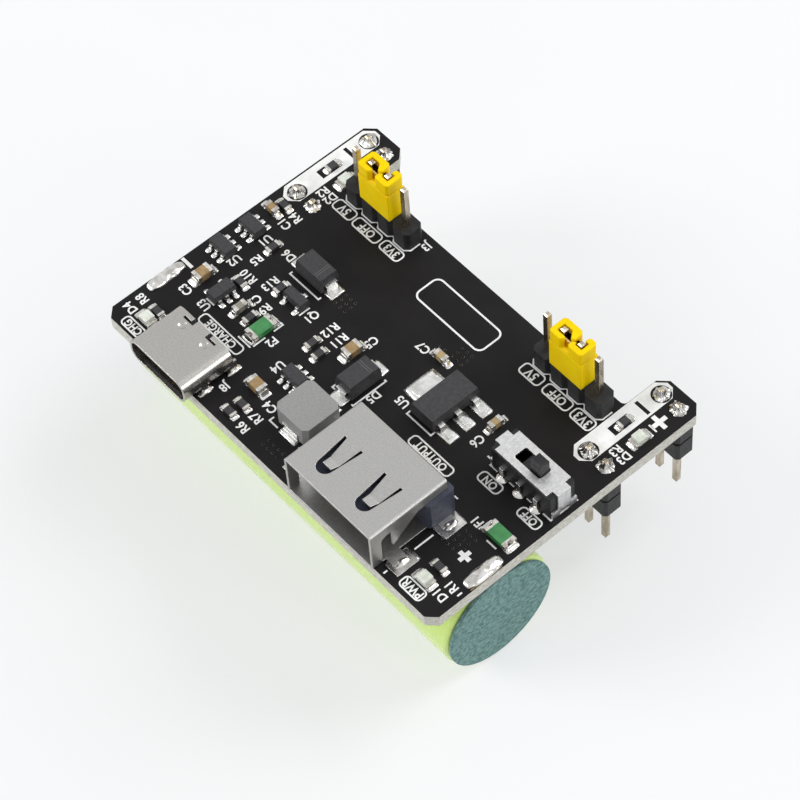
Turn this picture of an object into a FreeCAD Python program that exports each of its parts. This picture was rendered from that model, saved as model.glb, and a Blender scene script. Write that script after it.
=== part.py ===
"""Breadboard power supply module: a circuit board with a cell under its front edge.

Millimetres. While the parts are made, X runs along the board's front edge from the left outer
column of rail pins, Y runs back from the front row of rail pins, and Z = 0 is the board's top
face. The finished assembly is then moved so that its origin is at its bottom centre.
"""
import FreeCAD, Part
import math
import os

V = FreeCAD.Vector

# Pin grid
PITCH = 2.54
RAIL_SPACING = 45.72
RAIL_ROW_SPACING = 10.16
PIN_SIDE = 0.64
PIN_HOLE_DIA = 1.02
PIN_TAPER = 0.15

# Board outline
BOARD_THICKNESS = 1.6
BOARD_SIDE_MARGIN = 1.77
BOARD_FRONT_DEPTH = 25.05
BOARD_BACK_DEPTH = 6.45
BOARD_TAB_MARGIN = 1.84
BOARD_TAB_WIDTH = 5.9
BOARD_CHAMFER = 1.05
BOARD_TAB_FILLET = 0.6
BOARD_LENGTH = RAIL_SPACING + PITCH + 2 * BOARD_SIDE_MARGIN

# Rail pin headers under the board
SPACER_HEIGHT = 2.54
SPACER_WIDTH = 2.5
SPACER_CHAMFER = 0.35
SPACER_GAP = 0.3
RAIL_PIN_REACH = 6.0
RAIL_PIN_TOP = 0.95
RAIL_SOLDER_DIA = 1.9
RAIL_SOLDER_TOP_DIA = 0.95
RAIL_SOLDER_HEIGHT = 0.7

# Jumper headers
JUMPER_PINS = 4
LEFT_JUMPER_X = 5.28
RIGHT_JUMPER_X = 34.89
JUMPER_Y = 4.5
JUMPER_BASE_HEIGHT = 2.54
JUMPER_BASE_WIDTH = 2.5
JUMPER_BASE_CHAMFER = 0.45
JUMPER_PIN_TOP = 8.54
JUMPER_PIN_TAIL = 0.9
UNDER_SOLDER_DIA = 1.7
UNDER_SOLDER_TIP_DIA = 0.9
UNDER_SOLDER_HEIGHT = 0.6

# Jumper caps
CAP_LENGTH = 4.7
CAP_DEPTH = 2.36
CAP_SEAT_GAP = 0.06
CAP_BODY_HEIGHT = 4.3
CAP_HEIGHT = 5.8
CAP_BEVEL = 0.3
CAP_PIN_CLEARANCE = 0.18
CAP_GROOVE_DEPTH = 0.15
CAP_GROOVE_HEIGHT = 0.25
LEFT_COLLAR = [(-2.35, -0.95), (-2.12, -1.18), (-0.8, -1.18), (-0.55, -0.95), (-0.55, -0.58), (-1.75, -0.58),
               (-1.75, 0.5), (-0.6, 0.5), (0.0, -0.3), (0.45, -0.12), (0.4, 0.9), (0.1, 1.18), (-2.05, 1.18),
               (-2.35, 0.9)]
RIGHT_COLLAR = [(0.35, -1.0), (0.55, -1.18), (2.1, -1.18), (2.35, -0.95), (2.35, 0.9), (2.1, 1.18),
                (1.5, 1.18), (1.25, 0.95), (1.25, 0.55), (1.75, 0.55), (1.75, -0.52), (0.9, -0.52),
                (0.75, -0.25), (0.35, -0.45)]
CLIP_THICKNESS = 0.2
CLIP_LENGTH = 3.9
CLIP_BOTTOM_GAP = 0.5
CLIP_HEIGHT = 4.8
CLIP_PIN_CLEARANCE = 0.03
CLIP_FINGER_GAP = 0.5

# Cell
CELL_DIA = 14.0
CELL_END_INSET = 0.95
CELL_LENGTH = BOARD_LENGTH - 2 * CELL_END_INSET
CELL_CENTRE_X = (RAIL_SPACING + PITCH) / 2
CELL_Y = -15.8
CELL_SLEEVE = 0.1
CELL_RIM_ROUND = 0.5
CELL_SLEEVE_LIP = 1.3
CELL_BUTTON_MARGIN = 2.5
CELL_BUTTON_DIA = CELL_DIA - 2 * CELL_BUTTON_MARGIN
TAPE_THICKNESS = 0.6
TAPE_LENGTH = 36.0
TAPE_WIDTH = 6.0
DISC_MARGIN = 0.25
DISC_DIA = CELL_DIA - 2 * DISC_MARGIN
DISC_THICKNESS = 0.35
STRIP_THICKNESS = 0.15
STRIP_WIDTH = 4.0
STRIP_Y = -17.4
STRIP_TAIL = 3.0
STRIP_TOP = 0.35
STRIP_SLOT_CLEARANCE = 0.25
STRIP_SOLDER_LENGTH = 4.7
STRIP_SOLDER_WIDTH = 1.35
STRIP_SOLDER_HEIGHT = 0.55

# USB-C socket
USBC_X = 8.98
USBC_FRONT_Y = -26.35
USBC_WIDTH = 8.94
USBC_HEIGHT = 3.2
USBC_DEPTH = 6.5
USBC_WALL = 0.28
USBC_ROUND = 1.3
USBC_BLOCK_DEPTH = 2.2
USBC_TONGUE_WIDTH = 6.7
USBC_TONGUE_THICKNESS = 0.7
USBC_TONGUE_RECESS = 0.75
USBC_CONTACTS = 12
USBC_CONTACT_PITCH = 0.5
USBC_CONTACT_WIDTH = 0.26
USBC_CONTACT_THICKNESS = 0.06
USBC_CONTACT_LENGTH = 3.2
USBC_LEG_THICKNESS = 0.3
USBC_LEG_LENGTH = 0.9
USBC_LEG_DEPTH = 1.2
USBC_LEG_FRONT = 2.65
USBC_LEG_SPACING = 3.8
USBC_LEG_CLEARANCE = 0.2
USBC_SOLDER_WIDTH = 1.1
USBC_SOLDER_LENGTH = 2.1
USBC_SOLDER_HEIGHT = 0.3
USBC_SLIT_INNER = 1.0
USBC_SLIT_LENGTH = 1.55
USBC_SLIT_WIDTH = 0.3
USBC_SLIT_FROM_BACK = 0.5
USBC_SLIT_OPENING = 0.5
USBC_DIMPLE_SPACING = 3.54
USBC_DIMPLE_FROM_BACK = 1.5
USBC_DIMPLE_DIA = 1.0
USBC_DIMPLE_DEPTH = 0.16

# USB-A socket
USBA_X = 34.97
USBA_FRONT_Y = -25.2
USBA_WIDTH = 13.1
USBA_HEIGHT = 5.7
USBA_DEPTH = 10.1
USBA_WALL = 0.3
USBA_LEG_WIDTH = 1.3
USBA_WINDOW_TOP = 4.25
USBA_WINDOW_ROUND = 0.8
USBA_BLOCK_DEPTH = 3.0
USBA_BLOCK_OVERHANG = 0.6
USBA_EAR_DROP = 0.05
USBA_EAR_REACH = 0.5
USBA_EAR_BEVEL = 0.3
USBA_TONGUE_SIDE_GAP = 0.7
USBA_TONGUE_THICKNESS = 1.84
USBA_TONGUE_DROP = 0.97
USBA_TONGUE_RECESS = 1.2
USBA_CONTACT_WIDTH = 1.0
USBA_CONTACT_THICKNESS = 0.15
USBA_CONTACT_OUTER = 3.5
USBA_CONTACT_INNER = 1.0
USBA_CONTACT_LENGTH = 5.4
USBA_TAIL_REACH = 1.0
USBA_FOOT_LENGTH = 1.8
USBA_FOOT_REACH = 1.3
USBA_FOOT_FRONT = 1.7
USBA_FOOT_SPACING = 6.4
USBA_FOOT_SOLDER = 0.9
USBA_HALF_SPAN = USBA_WIDTH / 2 + USBA_FOOT_REACH + USBA_FOOT_SOLDER
USBA_SPRING_OFFSET = 3.0
USBA_SPRING_ROOT = 6.2
USBA_SPRING_TIP = 2.6
USBA_SPRING_DROP = 0.8
USBA_SPRING_CUT_FRONT = 1.45
USBA_SPRING_CUT_ROOT = 2.8
USBA_SPRING_CUT_TIP = 2.0
USBA_SPRING_ROOT_WIDTH = 2.1
USBA_SPRING_TIP_WIDTH = 1.25
USBA_SIDE_SPRING_FRONT = 2.8
USBA_SIDE_SPRING_BACK = 6.2
USBA_SIDE_SPRING_TIP = 1.7

# Slide switch
SWITCH_X = 44.7
SWITCH_Y = -6.6
SWITCH_HEIGHT = 3.5
SWITCH_BASE_LENGTH = 8.7
SWITCH_BASE_WIDTH = 3.5
SWITCH_WALL = 0.5
SWITCH_FLOOR = 1.2
SWITCH_COVER_THICKNESS = 0.25
SWITCH_COVER_LENGTH = 7.6
SWITCH_COVER_WIDTH = 3.3
SWITCH_COVER_END_WIDTH = 1.7
SWITCH_COVER_CLEARANCE = 0.05
SWITCH_FLANGE_FOOT_WIDTH = 3.3
SWITCH_FLANGE_FOOT_HEIGHT = 1.0
SWITCH_FLANGE_ARCH = 1.4
SWITCH_FLANGE_ARCH_HEIGHT = 0.55
SWITCH_SLOT_LENGTH = 3.75
SWITCH_SLOT_WIDTH = 1.65
SWITCH_SLOT_ROUND = 0.25
SWITCH_KNOB_LENGTH = 1.45
SWITCH_KNOB_WIDTH = 1.25
SWITCH_KNOB_HEIGHT = 1.75
SWITCH_KNOB_BEVEL = 0.15
SWITCH_SLIDER_LENGTH = 3.9
SWITCH_CLEARANCE = 0.08
SWITCH_TERMINALS = 3
SWITCH_TERMINAL_PITCH = 2.5
SWITCH_TERMINAL_WIDTH = 0.6
SWITCH_TERMINAL_THICKNESS = 0.25
SWITCH_TERMINAL_TOP = 1.75
SWITCH_TERMINAL_STANDOFF = 0.1
SWITCH_TERMINAL_TAIL = 0.8

# Inductor
INDUCTOR_GAP = 0.2
INDUCTOR_Y = -18.25
INDUCTOR_SIDE = 4.9
INDUCTOR_X = USBA_X - USBA_HALF_SPAN - INDUCTOR_GAP - INDUCTOR_SIDE / 2
INDUCTOR_HEIGHT = 2.8
INDUCTOR_CORNER = 0.5
INDUCTOR_TERMINAL_WIDTH = 2.3
INDUCTOR_TERMINAL_THICKNESS = 0.15
INDUCTOR_TERMINAL_HEIGHT = 1.1
INDUCTOR_TERMINAL_FOOT = 0.5

# Regulator
REGULATOR_X = 31.55
REGULATOR_Y = -6.75
REGULATOR_WIDTH = 3.5
REGULATOR_LENGTH = 6.5
REGULATOR_HEIGHT = 1.6
REGULATOR_LEAD_PITCH = 2.3
REGULATOR_LEAD_WIDTH = 0.7
REGULATOR_TAB_WIDTH = 3.0
REGULATOR_LEAD_REACH = 1.75
REGULATOR_LEAD_THICKNESS = 0.27

# Diodes: place and whether they lie along Y
DIODE_LENGTH = 4.2
DIODE_WIDTH = 2.5
DIODE_HEIGHT = 2.1
DIODE_DRAFT = 0.16
DIODE_LEAD_WIDTH = 1.45
DIODE_LEAD_THICKNESS = 0.2
DIODE_LEAD_REACH = 0.35
DIODE_LEAD_EXIT = 1.15
DIODE_PLACES = [(10.15, -5.75, False), (23.5, -11.5, True)]

# Small chips: place and whether they lie along Y
CHIP_LENGTH = 2.9
CONVERTER_GAP = 1.0
CONVERTER_X = INDUCTOR_X - INDUCTOR_SIDE / 2 - CONVERTER_GAP - CHIP_LENGTH / 2
CHIP_WIDTH = 1.6
CHIP_HEIGHT = 1.1
CHIP_LIFT = 0.1
CHIP_LEAD_PITCH = 0.95
CHIP_LEAD_WIDTH = 0.4
CHIP_LEAD_THICKNESS = 0.15
CHIP_LEAD_REACH = 0.6
SIX_LEAD_PLACES = [(0.5, -6.65, False), (0.43, -10.65, False), (CONVERTER_X, -16.0, False)]
FIVE_LEAD_PLACE = (4.88, -14.55, True)
TRANSISTOR_PLACE = (11.1, -9.45, False)
TRANSISTOR_WIDTH = 1.3

# Fuses
FUSE_LENGTH = 3.2
FUSE_WIDTH = 1.6
FUSE_HEIGHT = 0.7
FUSE_END = 0.55
FUSE_NOTCH = 0.35
FUSE_PLACES = [(11.37, -14.5, True), (47.2, -13.4, False)]

# Capacitors
LARGE_CAPACITOR = (2.0, 1.25, 0.95)
SMALL_CAPACITOR = (1.6, 0.8, 0.8)
CAPACITOR_END = 0.42
LARGE_CAPACITOR_PLACES = [(1.7, -14.5, True), (16.7, -19.5, False), (20.05, -9.45, True)]
SMALL_CAPACITOR_PLACES = [(0.02, -3.54, False), (7.78, -14.41, True), (26.98, -3.28, False), (36.98, -4.75, True)]

# Resistors
RESISTOR = (1.6, 0.8, 0.45)
RESISTOR_END = 0.3
RESISTOR_PLACES = [
    (45.8, -20.2, False), (17.11, -23.57, False), (17.35, -22.04, False), (2.08, -21.02, False),
    (9.44, -14.43, True), (5.16, -12.24, False), (17.97, -12.19, True), (16.4, -11.81, True),
    (8.74, -9.6, True), (4.01, -6.74, True), (0.49, -2.25, False), (0.0, 5.0, True), (45.72, 5.0, True)]

# Indicator lights
LIGHT = (2.0, 1.25, 0.75)
LIGHT_END = 0.35
LIGHT_LENS_LENGTH = 1.2
LIGHT_BASE_HEIGHT = 0.35
POWER_LIGHT_GAP = 1.15
POWER_LIGHT_X = USBA_X + USBA_HALF_SPAN + POWER_LIGHT_GAP + LIGHT[0] / 2
LIGHT_PLACES = [(2.54, 4.7, True), (48.26, 4.7, True), (POWER_LIGHT_X, -22.2, False), (2.1, -22.4, False)]
END_CAP_PROUD = 0.02

# Values worked out from the sizes above
BOARD_BOTTOM = -BOARD_THICKNESS
SEAT_Z = BOARD_BOTTOM - 2 * SPACER_HEIGHT - SPACER_GAP
RAIL_COLUMNS = [0, PITCH, RAIL_SPACING, RAIL_SPACING + PITCH]
RAIL_ROWS = [0, RAIL_ROW_SPACING]
RAIL_PINS = [(x, y) for x in RAIL_COLUMNS for y in RAIL_ROWS]
JUMPER_STARTS = [LEFT_JUMPER_X, RIGHT_JUMPER_X]
JUMPER_PLACES = [(start + i * PITCH, JUMPER_Y) for start in JUMPER_STARTS for i in range(JUMPER_PINS)]
CELL_Z = BOARD_BOTTOM - TAPE_THICKNESS - CELL_DIA / 2
CELL_END_XS = [CELL_CENTRE_X - CELL_LENGTH / 2, CELL_CENTRE_X + CELL_LENGTH / 2]
SWITCH_COVER_BOTTOM = SWITCH_HEIGHT - SWITCH_COVER_THICKNESS
SWITCH_TRAVEL = SWITCH_SLOT_LENGTH - SWITCH_KNOB_LENGTH - 2 * SWITCH_CLEARANCE
SWITCH_TERMINAL_Y = SWITCH_Y - SWITCH_BASE_WIDTH / 2 - SWITCH_TERMINAL_STANDOFF - SWITCH_TERMINAL_THICKNESS / 2
SWITCH_TERMINAL_XS = [SWITCH_X + (i - (SWITCH_TERMINALS - 1) / 2) * SWITCH_TERMINAL_PITCH
                      for i in range(SWITCH_TERMINALS)]
USBC_LEG_X = USBC_WIDTH / 2 - USBC_LEG_THICKNESS / 2
USBC_LEG_YS = [USBC_FRONT_Y + USBC_LEG_FRONT, USBC_FRONT_Y + USBC_LEG_FRONT + USBC_LEG_SPACING]
USBC_LEGS = [(USBC_X + side * USBC_LEG_X, y) for side in (-1, 1) for y in USBC_LEG_YS]


def block(x, y, z, length, width, height):
    """A box centred on x, y that stands on z."""
    return Part.makeBox(length, width, height, V(x - length / 2, y - width / 2, z))


def between(low, high):
    """A box from one corner to the opposite one."""
    return Part.makeBox(high[0] - low[0], high[1] - low[1], high[2] - low[2], V(*low))


def post(x, y, z, dia, height):
    """A round post that stands on z."""
    return Part.makeCylinder(dia / 2, height, V(x, y, z))


def plate(points, z, height):
    """A flat plate with the outline of the points."""
    corners = [V(x, y, z) for x, y in points]
    return Part.Face(Part.makePolygon(corners + corners[:1])).extrude(V(0, 0, height))


def folded(points, width):
    """A strip folded from sheet: points are its side view in X and Z, and it is centred on Y = 0."""
    corners = [V(x, -width / 2, z) for x, z in points]
    return Part.Face(Part.makePolygon(corners + corners[:1])).extrude(V(0, width, 0))


def edges_along(shape, direction):
    """The straight edges of a shape that run along a direction."""
    found = []
    for edge in shape.Edges:
        if isinstance(edge.Curve, Part.Line) and abs(abs(edge.Curve.Direction.dot(direction)) - 1) < 1e-6:
            found.append(edge)
    return found


def edges_at(shape, z):
    """The edges of a shape that lie wholly at one height."""
    return [e for e in shape.Edges if abs(e.BoundBox.ZMin - z) < 1e-6 and abs(e.BoundBox.ZMax - z) < 1e-6]


def cut_all(shape, tools):
    """A shape less every tool."""
    return shape.cut(tools) if tools else shape


def placed(shape, x, y, turned=False, angle=0):
    """A copy moved to x, y, after a quarter turn if it lies along Y."""
    copy = shape.copy()
    copy.rotate(V(0, 0, 0), V(0, 0, 1), angle + (90 if turned else 0))
    copy.translate(V(x, y, 0))
    return copy


def square_pin(x, y, low, high):
    """A square pin with tapered tips at both ends."""
    pin = block(x, y, low, PIN_SIDE, PIN_SIDE, high - low)
    return pin.makeChamfer(PIN_TAPER, edges_at(pin, low) + edges_at(pin, high))


def header_body(x, y, z, pins, height, width, chamfer):
    """A pin header's plastic: a row of cells with cut corners, and a square hole for each pin."""
    front = []
    for i in range(pins):
        left = x + (i - 0.5) * PITCH
        right = left + PITCH
        front += [(left, y - width / 2 + chamfer), (left + chamfer, y - width / 2),
                  (right - chamfer, y - width / 2), (right, y - width / 2 + chamfer)]
    outline = [p for k, p in enumerate(front) if k == 0 or p != front[k - 1]]
    back = [(px, 2 * y - py) for px, py in reversed(outline)]
    body = plate(outline + back, z, height).removeSplitter()
    holes = [block(x + i * PITCH, y, z, PIN_SIDE, PIN_SIDE, height) for i in range(pins)]
    return cut_all(body, holes)


def solder_cone(x, y, z, dia, tip_dia, height, hole):
    """A solder joint that rises from z, or hangs from it, round a pin."""
    direction = V(0, 0, 1) if height > 0 else V(0, 0, -1)
    cone = Part.makeCone(dia / 2, tip_dia / 2, abs(height), V(x, y, z), direction)
    return cone.cut(hole)


def solder_mound(x, y, z, width, length, height):
    """A long low mound of solder along Y."""
    mound = block(x, y, z, width, length, height)
    return mound.makeChamfer(height * 0.6, edges_at(mound, z + height))


# Board
def dimple(x, y, top, dia, depth):
    """The tool for a shallow round dimple in a top face."""
    radius = (dia * dia / 4 + depth * depth) / (2 * depth)
    return Part.makeSphere(radius, V(x, y, top - depth + radius))


def circuit_board():
    """The board with two tabs at the back, and every hole and slot that something passes through."""
    left = -BOARD_SIDE_MARGIN
    right = left + BOARD_LENGTH
    front = -BOARD_FRONT_DEPTH
    back = RAIL_ROW_SPACING + BOARD_TAB_MARGIN
    inner = [left + BOARD_TAB_WIDTH, right - BOARD_TAB_WIDTH]
    c = BOARD_CHAMFER
    outline = [(left + c, front), (right - c, front), (right, front + c), (right, back - c),
               (right - c, back), (inner[1] + c, back), (inner[1], back - c), (inner[1], BOARD_BACK_DEPTH),
               (inner[0], BOARD_BACK_DEPTH), (inner[0], back - c), (inner[0] - c, back),
               (left + c, back), (left, back - c), (left, front + c)]
    board = plate(outline, BOARD_BOTTOM, BOARD_THICKNESS)
    corners = [e for e in edges_along(board, V(0, 0, 1))
               if abs(e.BoundBox.YMin - BOARD_BACK_DEPTH) < 1e-6 and left < e.BoundBox.XMin < right]
    board = board.makeFillet(BOARD_TAB_FILLET, corners)
    holes = [post(x, y, BOARD_BOTTOM, PIN_HOLE_DIA, BOARD_THICKNESS)
             for x, y in RAIL_PINS + JUMPER_PLACES + [(x, SWITCH_TERMINAL_Y) for x in SWITCH_TERMINAL_XS]]
    for x, y in USBC_LEGS:
        holes.append(block(x, y, BOARD_BOTTOM, USBC_LEG_THICKNESS + 2 * USBC_LEG_CLEARANCE,
                           USBC_LEG_LENGTH + 2 * USBC_LEG_CLEARANCE, BOARD_THICKNESS))
    for x in strip_centres():
        holes.append(block(x, STRIP_Y, BOARD_BOTTOM, STRIP_THICKNESS + 2 * STRIP_SLOT_CLEARANCE,
                           STRIP_WIDTH + 2 * STRIP_SLOT_CLEARANCE, BOARD_THICKNESS))
    return [cut_all(board, holes)]


# Rail pins
def rail_spacers(z):
    """One layer of the rail headers' plastic bodies, one for each pair of pins."""
    return [header_body(x, y, z, 2, SPACER_HEIGHT, SPACER_WIDTH, SPACER_CHAMFER)
            for x in (0, RAIL_SPACING) for y in RAIL_ROWS]


def rail_pins():
    """Eight pins that pass through the board and both spacers, and reach into the breadboard."""
    return [square_pin(x, y, SEAT_Z - RAIL_PIN_REACH, RAIL_PIN_TOP) for x, y in RAIL_PINS]


def rail_pin_solder():
    """A solder cone round the top of each rail pin."""
    return [solder_cone(x, y, 0, RAIL_SOLDER_DIA, RAIL_SOLDER_TOP_DIA, RAIL_SOLDER_HEIGHT,
                        square_pin(x, y, SEAT_Z - RAIL_PIN_REACH, RAIL_PIN_TOP)) for x, y in RAIL_PINS]


# Jumper headers and caps
def jumper_bases():
    """The two black header bodies on the board."""
    return [header_body(x, JUMPER_Y, 0, JUMPER_PINS, JUMPER_BASE_HEIGHT, JUMPER_BASE_WIDTH,
                        JUMPER_BASE_CHAMFER) for x in JUMPER_STARTS]


def jumper_pin(x, y):
    """One pin of a jumper header."""
    return square_pin(x, y, BOARD_BOTTOM - JUMPER_PIN_TAIL, JUMPER_PIN_TOP)


def under_solder():
    """Solder under the board, round the jumper pins and the switch terminals."""
    joints = [solder_cone(x, y, BOARD_BOTTOM, UNDER_SOLDER_DIA, UNDER_SOLDER_TIP_DIA, -UNDER_SOLDER_HEIGHT,
                          jumper_pin(x, y)) for x, y in JUMPER_PLACES]
    for x, terminal in zip(SWITCH_TERMINAL_XS, switch_terminals()):
        joints.append(solder_cone(x, SWITCH_TERMINAL_Y, BOARD_BOTTOM, UNDER_SOLDER_DIA, UNDER_SOLDER_TIP_DIA,
                                  -UNDER_SOLDER_HEIGHT, terminal))
    return joints


def cap_centre(start):
    """The middle of the two inner pins, where a cap sits."""
    return start + PITCH * (JUMPER_PINS - 1) / 2


def jumper_cap(start):
    """A jumper cap: a block over two pins, with a groove and a hook-shaped collar round each pin on top."""
    x = cap_centre(start)
    y = JUMPER_Y
    z = JUMPER_BASE_HEIGHT + CAP_SEAT_GAP
    body = block(x, y, z, CAP_LENGTH, CAP_DEPTH, CAP_BODY_HEIGHT)
    body = body.makeChamfer(CAP_BEVEL, edges_at(body, z + CAP_BODY_HEIGHT))
    collars = []
    for outline in (LEFT_COLLAR, RIGHT_COLLAR):
        points = [(x + px, y + py) for px, py in outline]
        collars.append(plate(points, z + CAP_BODY_HEIGHT - CAP_BEVEL, CAP_HEIGHT - CAP_BODY_HEIGHT + CAP_BEVEL))
    hole = PIN_SIDE + 2 * CAP_PIN_CLEARANCE
    clip_depth = PIN_SIDE + 2 * (CLIP_PIN_CLEARANCE + CLIP_THICKNESS)
    cavity = block(x, y, z, CLIP_LENGTH, clip_depth, CLIP_BOTTOM_GAP + CLIP_HEIGHT)
    holes = [block(x + side * PITCH / 2, y, z, hole, hole, CAP_HEIGHT) for side in (-1, 1)]
    groove_z = z + CAP_BODY_HEIGHT - CAP_BEVEL
    neck = block(x, y, groove_z, CAP_LENGTH - 2 * CAP_GROOVE_DEPTH, CAP_DEPTH - 2 * CAP_GROOVE_DEPTH, CAP_GROOVE_HEIGHT)
    groove = block(x, y, groove_z, CAP_LENGTH, CAP_DEPTH, CAP_GROOVE_HEIGHT).cut(neck)
    return [body.fuse(collars).cut([cavity, groove] + holes).removeSplitter()]


def jumper_clip(start):
    """The contact clip in a cap: a strip folded round both pins, open in the middle of its back."""
    x = cap_centre(start)
    y = JUMPER_Y
    z = JUMPER_BASE_HEIGHT + CAP_SEAT_GAP + CLIP_BOTTOM_GAP
    inside = PIN_SIDE + 2 * CLIP_PIN_CLEARANCE
    outside = inside + 2 * CLIP_THICKNESS
    ring = block(x, y, z, CLIP_LENGTH, outside, CLIP_HEIGHT)
    hollow = block(x, y, z, CLIP_LENGTH - 2 * CLIP_THICKNESS, inside, CLIP_HEIGHT)
    mouth = block(x, y + inside / 2 + CLIP_THICKNESS / 2, z, CLIP_FINGER_GAP, CLIP_THICKNESS, CLIP_HEIGHT)
    return [ring.cut([hollow, mouth])]


# Cell
def along_x(x, radius, length):
    """A cylinder on the cell's axis from x."""
    return Part.makeCylinder(radius, length, V(x, CELL_Y, CELL_Z), V(1, 0, 0))


def cell_can():
    """The sealed steel can, with a raised button on each end where the strips are welded."""
    can = along_x(CELL_END_XS[0], CELL_DIA / 2 - CELL_SLEEVE, CELL_LENGTH)
    can = can.makeFillet(CELL_RIM_ROUND, can.Edges[:1] + can.Edges[2:])
    low = CELL_END_XS[0] - CELL_SLEEVE
    button = along_x(low, CELL_BUTTON_DIA / 2, CELL_LENGTH + 2 * CELL_SLEEVE)
    return [can.fuse(button).removeSplitter()]


def cell_sleeve():
    """The shrunk plastic sleeve: a thin tube that laps over the rim at both ends."""
    outer = along_x(CELL_END_XS[0] - CELL_SLEEVE, CELL_DIA / 2, CELL_LENGTH + 2 * CELL_SLEEVE)
    outer = outer.makeFillet(CELL_RIM_ROUND + CELL_SLEEVE, outer.Edges[:1] + outer.Edges[2:])
    mouth = along_x(CELL_END_XS[0] - CELL_SLEEVE, CELL_DIA / 2 - CELL_SLEEVE_LIP, CELL_LENGTH + 2 * CELL_SLEEVE)
    return [outer.cut([cell_can()[0], mouth])]


def strip_faces():
    """The outer X of each welded strip's inner face, left then right, with its outward direction."""
    return [(CELL_END_XS[0] - CELL_SLEEVE, -1), (CELL_END_XS[1] + CELL_SLEEVE, 1)]


def strip_centres():
    """The middle X of each strip."""
    return [x + side * STRIP_THICKNESS / 2 for x, side in strip_faces()]


def cell_strips():
    """A nickel strip from each end of the cell up through the board."""
    low = CELL_Z - STRIP_TAIL
    return [block(x, STRIP_Y, low, STRIP_THICKNESS, STRIP_WIDTH, STRIP_TOP - low) for x in strip_centres()]


def strip_solder():
    """A long solder mound on the board round the top of each strip."""
    return [solder_mound(x, STRIP_Y, 0, STRIP_SOLDER_WIDTH, STRIP_SOLDER_LENGTH, STRIP_SOLDER_HEIGHT).cut(strip)
            for x, strip in zip(strip_centres(), cell_strips())]


def cell_discs():
    """A round fibre disc over each end of the cell, on the strip."""
    discs = []
    for x, side in strip_faces():
        start = x + side * STRIP_THICKNESS
        if side < 0:
            start -= DISC_THICKNESS
        discs.append(along_x(start, DISC_DIA / 2, DISC_THICKNESS))
    return discs


def cell_tape():
    """The foam tape that holds the cell to the board, shaped to the cell below."""
    half = TAPE_WIDTH / 2
    drop = TAPE_THICKNESS + CELL_DIA / 2 - math.sqrt((CELL_DIA / 2) ** 2 - half ** 2)
    pad = block(CELL_CENTRE_X, CELL_Y, BOARD_BOTTOM - drop, TAPE_LENGTH, TAPE_WIDTH, drop)
    return [pad.cut(along_x(CELL_END_XS[0], CELL_DIA / 2, CELL_LENGTH))]


# USB-C socket
def usbc_tube(inset, y, depth):
    """A round-cornered block on the socket's axis, smaller than the shell by the inset all round."""
    tube = block(USBC_X, y + depth / 2, inset, USBC_WIDTH - 2 * inset, depth, USBC_HEIGHT - 2 * inset)
    return tube.makeFillet(USBC_ROUND - inset, edges_along(tube, V(0, 1, 0)))


def usbc_shell():
    """The drawn shell with four legs that pass through the board, and two hooked slits and two dimples on top."""
    shell = usbc_tube(0, USBC_FRONT_Y, USBC_DEPTH)
    hollow = usbc_tube(USBC_WALL, USBC_FRONT_Y, USBC_DEPTH)
    leg_top = USBC_HEIGHT / 2
    legs = [block(x, y, -USBC_LEG_DEPTH, USBC_LEG_THICKNESS, USBC_LEG_LENGTH, leg_top + USBC_LEG_DEPTH)
            for x, y in USBC_LEGS]
    back = USBC_FRONT_Y + USBC_DEPTH
    slit_z = USBC_HEIGHT - USBC_WALL
    slit_y = back - USBC_SLIT_FROM_BACK - USBC_SLIT_WIDTH / 2
    opening = USBC_SLIT_FROM_BACK + USBC_SLIT_WIDTH
    slits = []
    for side in (-1, 1):
        slits.append(block(USBC_X + side * (USBC_SLIT_INNER + USBC_SLIT_LENGTH / 2), slit_y, slit_z,
                           USBC_SLIT_LENGTH, USBC_SLIT_WIDTH, USBC_WALL))
        slits.append(block(USBC_X + side * (USBC_SLIT_INNER + USBC_SLIT_OPENING / 2), back - opening / 2, slit_z,
                           USBC_SLIT_OPENING, opening, USBC_WALL))
        slits.append(dimple(USBC_X + side * USBC_DIMPLE_SPACING / 2, back - USBC_DIMPLE_FROM_BACK, USBC_HEIGHT,
                            USBC_DIMPLE_DIA, USBC_DIMPLE_DEPTH))
    return [shell.fuse(legs).cut([hollow] + slits).removeSplitter()]


def usbc_tongue():
    """The moulded insulator: a block that fills the back of the shell, and the tongue in the mouth."""
    block_y = USBC_FRONT_Y + USBC_DEPTH - USBC_BLOCK_DEPTH
    rear = usbc_tube(USBC_WALL, block_y, USBC_BLOCK_DEPTH)
    length = USBC_DEPTH - USBC_BLOCK_DEPTH - USBC_TONGUE_RECESS
    tongue = block(USBC_X, block_y - length / 2, (USBC_HEIGHT - USBC_TONGUE_THICKNESS) / 2,
                   USBC_TONGUE_WIDTH, length, USBC_TONGUE_THICKNESS)
    return [rear.fuse(tongue).removeSplitter()]


def usbc_contacts():
    """A row of flat contacts on each side of the tongue."""
    y = USBC_FRONT_Y + USBC_DEPTH - USBC_BLOCK_DEPTH - USBC_CONTACT_LENGTH / 2
    top = (USBC_HEIGHT + USBC_TONGUE_THICKNESS) / 2
    bottom = (USBC_HEIGHT - USBC_TONGUE_THICKNESS) / 2 - USBC_CONTACT_THICKNESS
    strips = []
    for i in range(USBC_CONTACTS):
        x = USBC_X + (i - (USBC_CONTACTS - 1) / 2) * USBC_CONTACT_PITCH
        for z in (bottom, top):
            strips.append(block(x, y, z, USBC_CONTACT_WIDTH, USBC_CONTACT_LENGTH, USBC_CONTACT_THICKNESS))
    return strips


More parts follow.
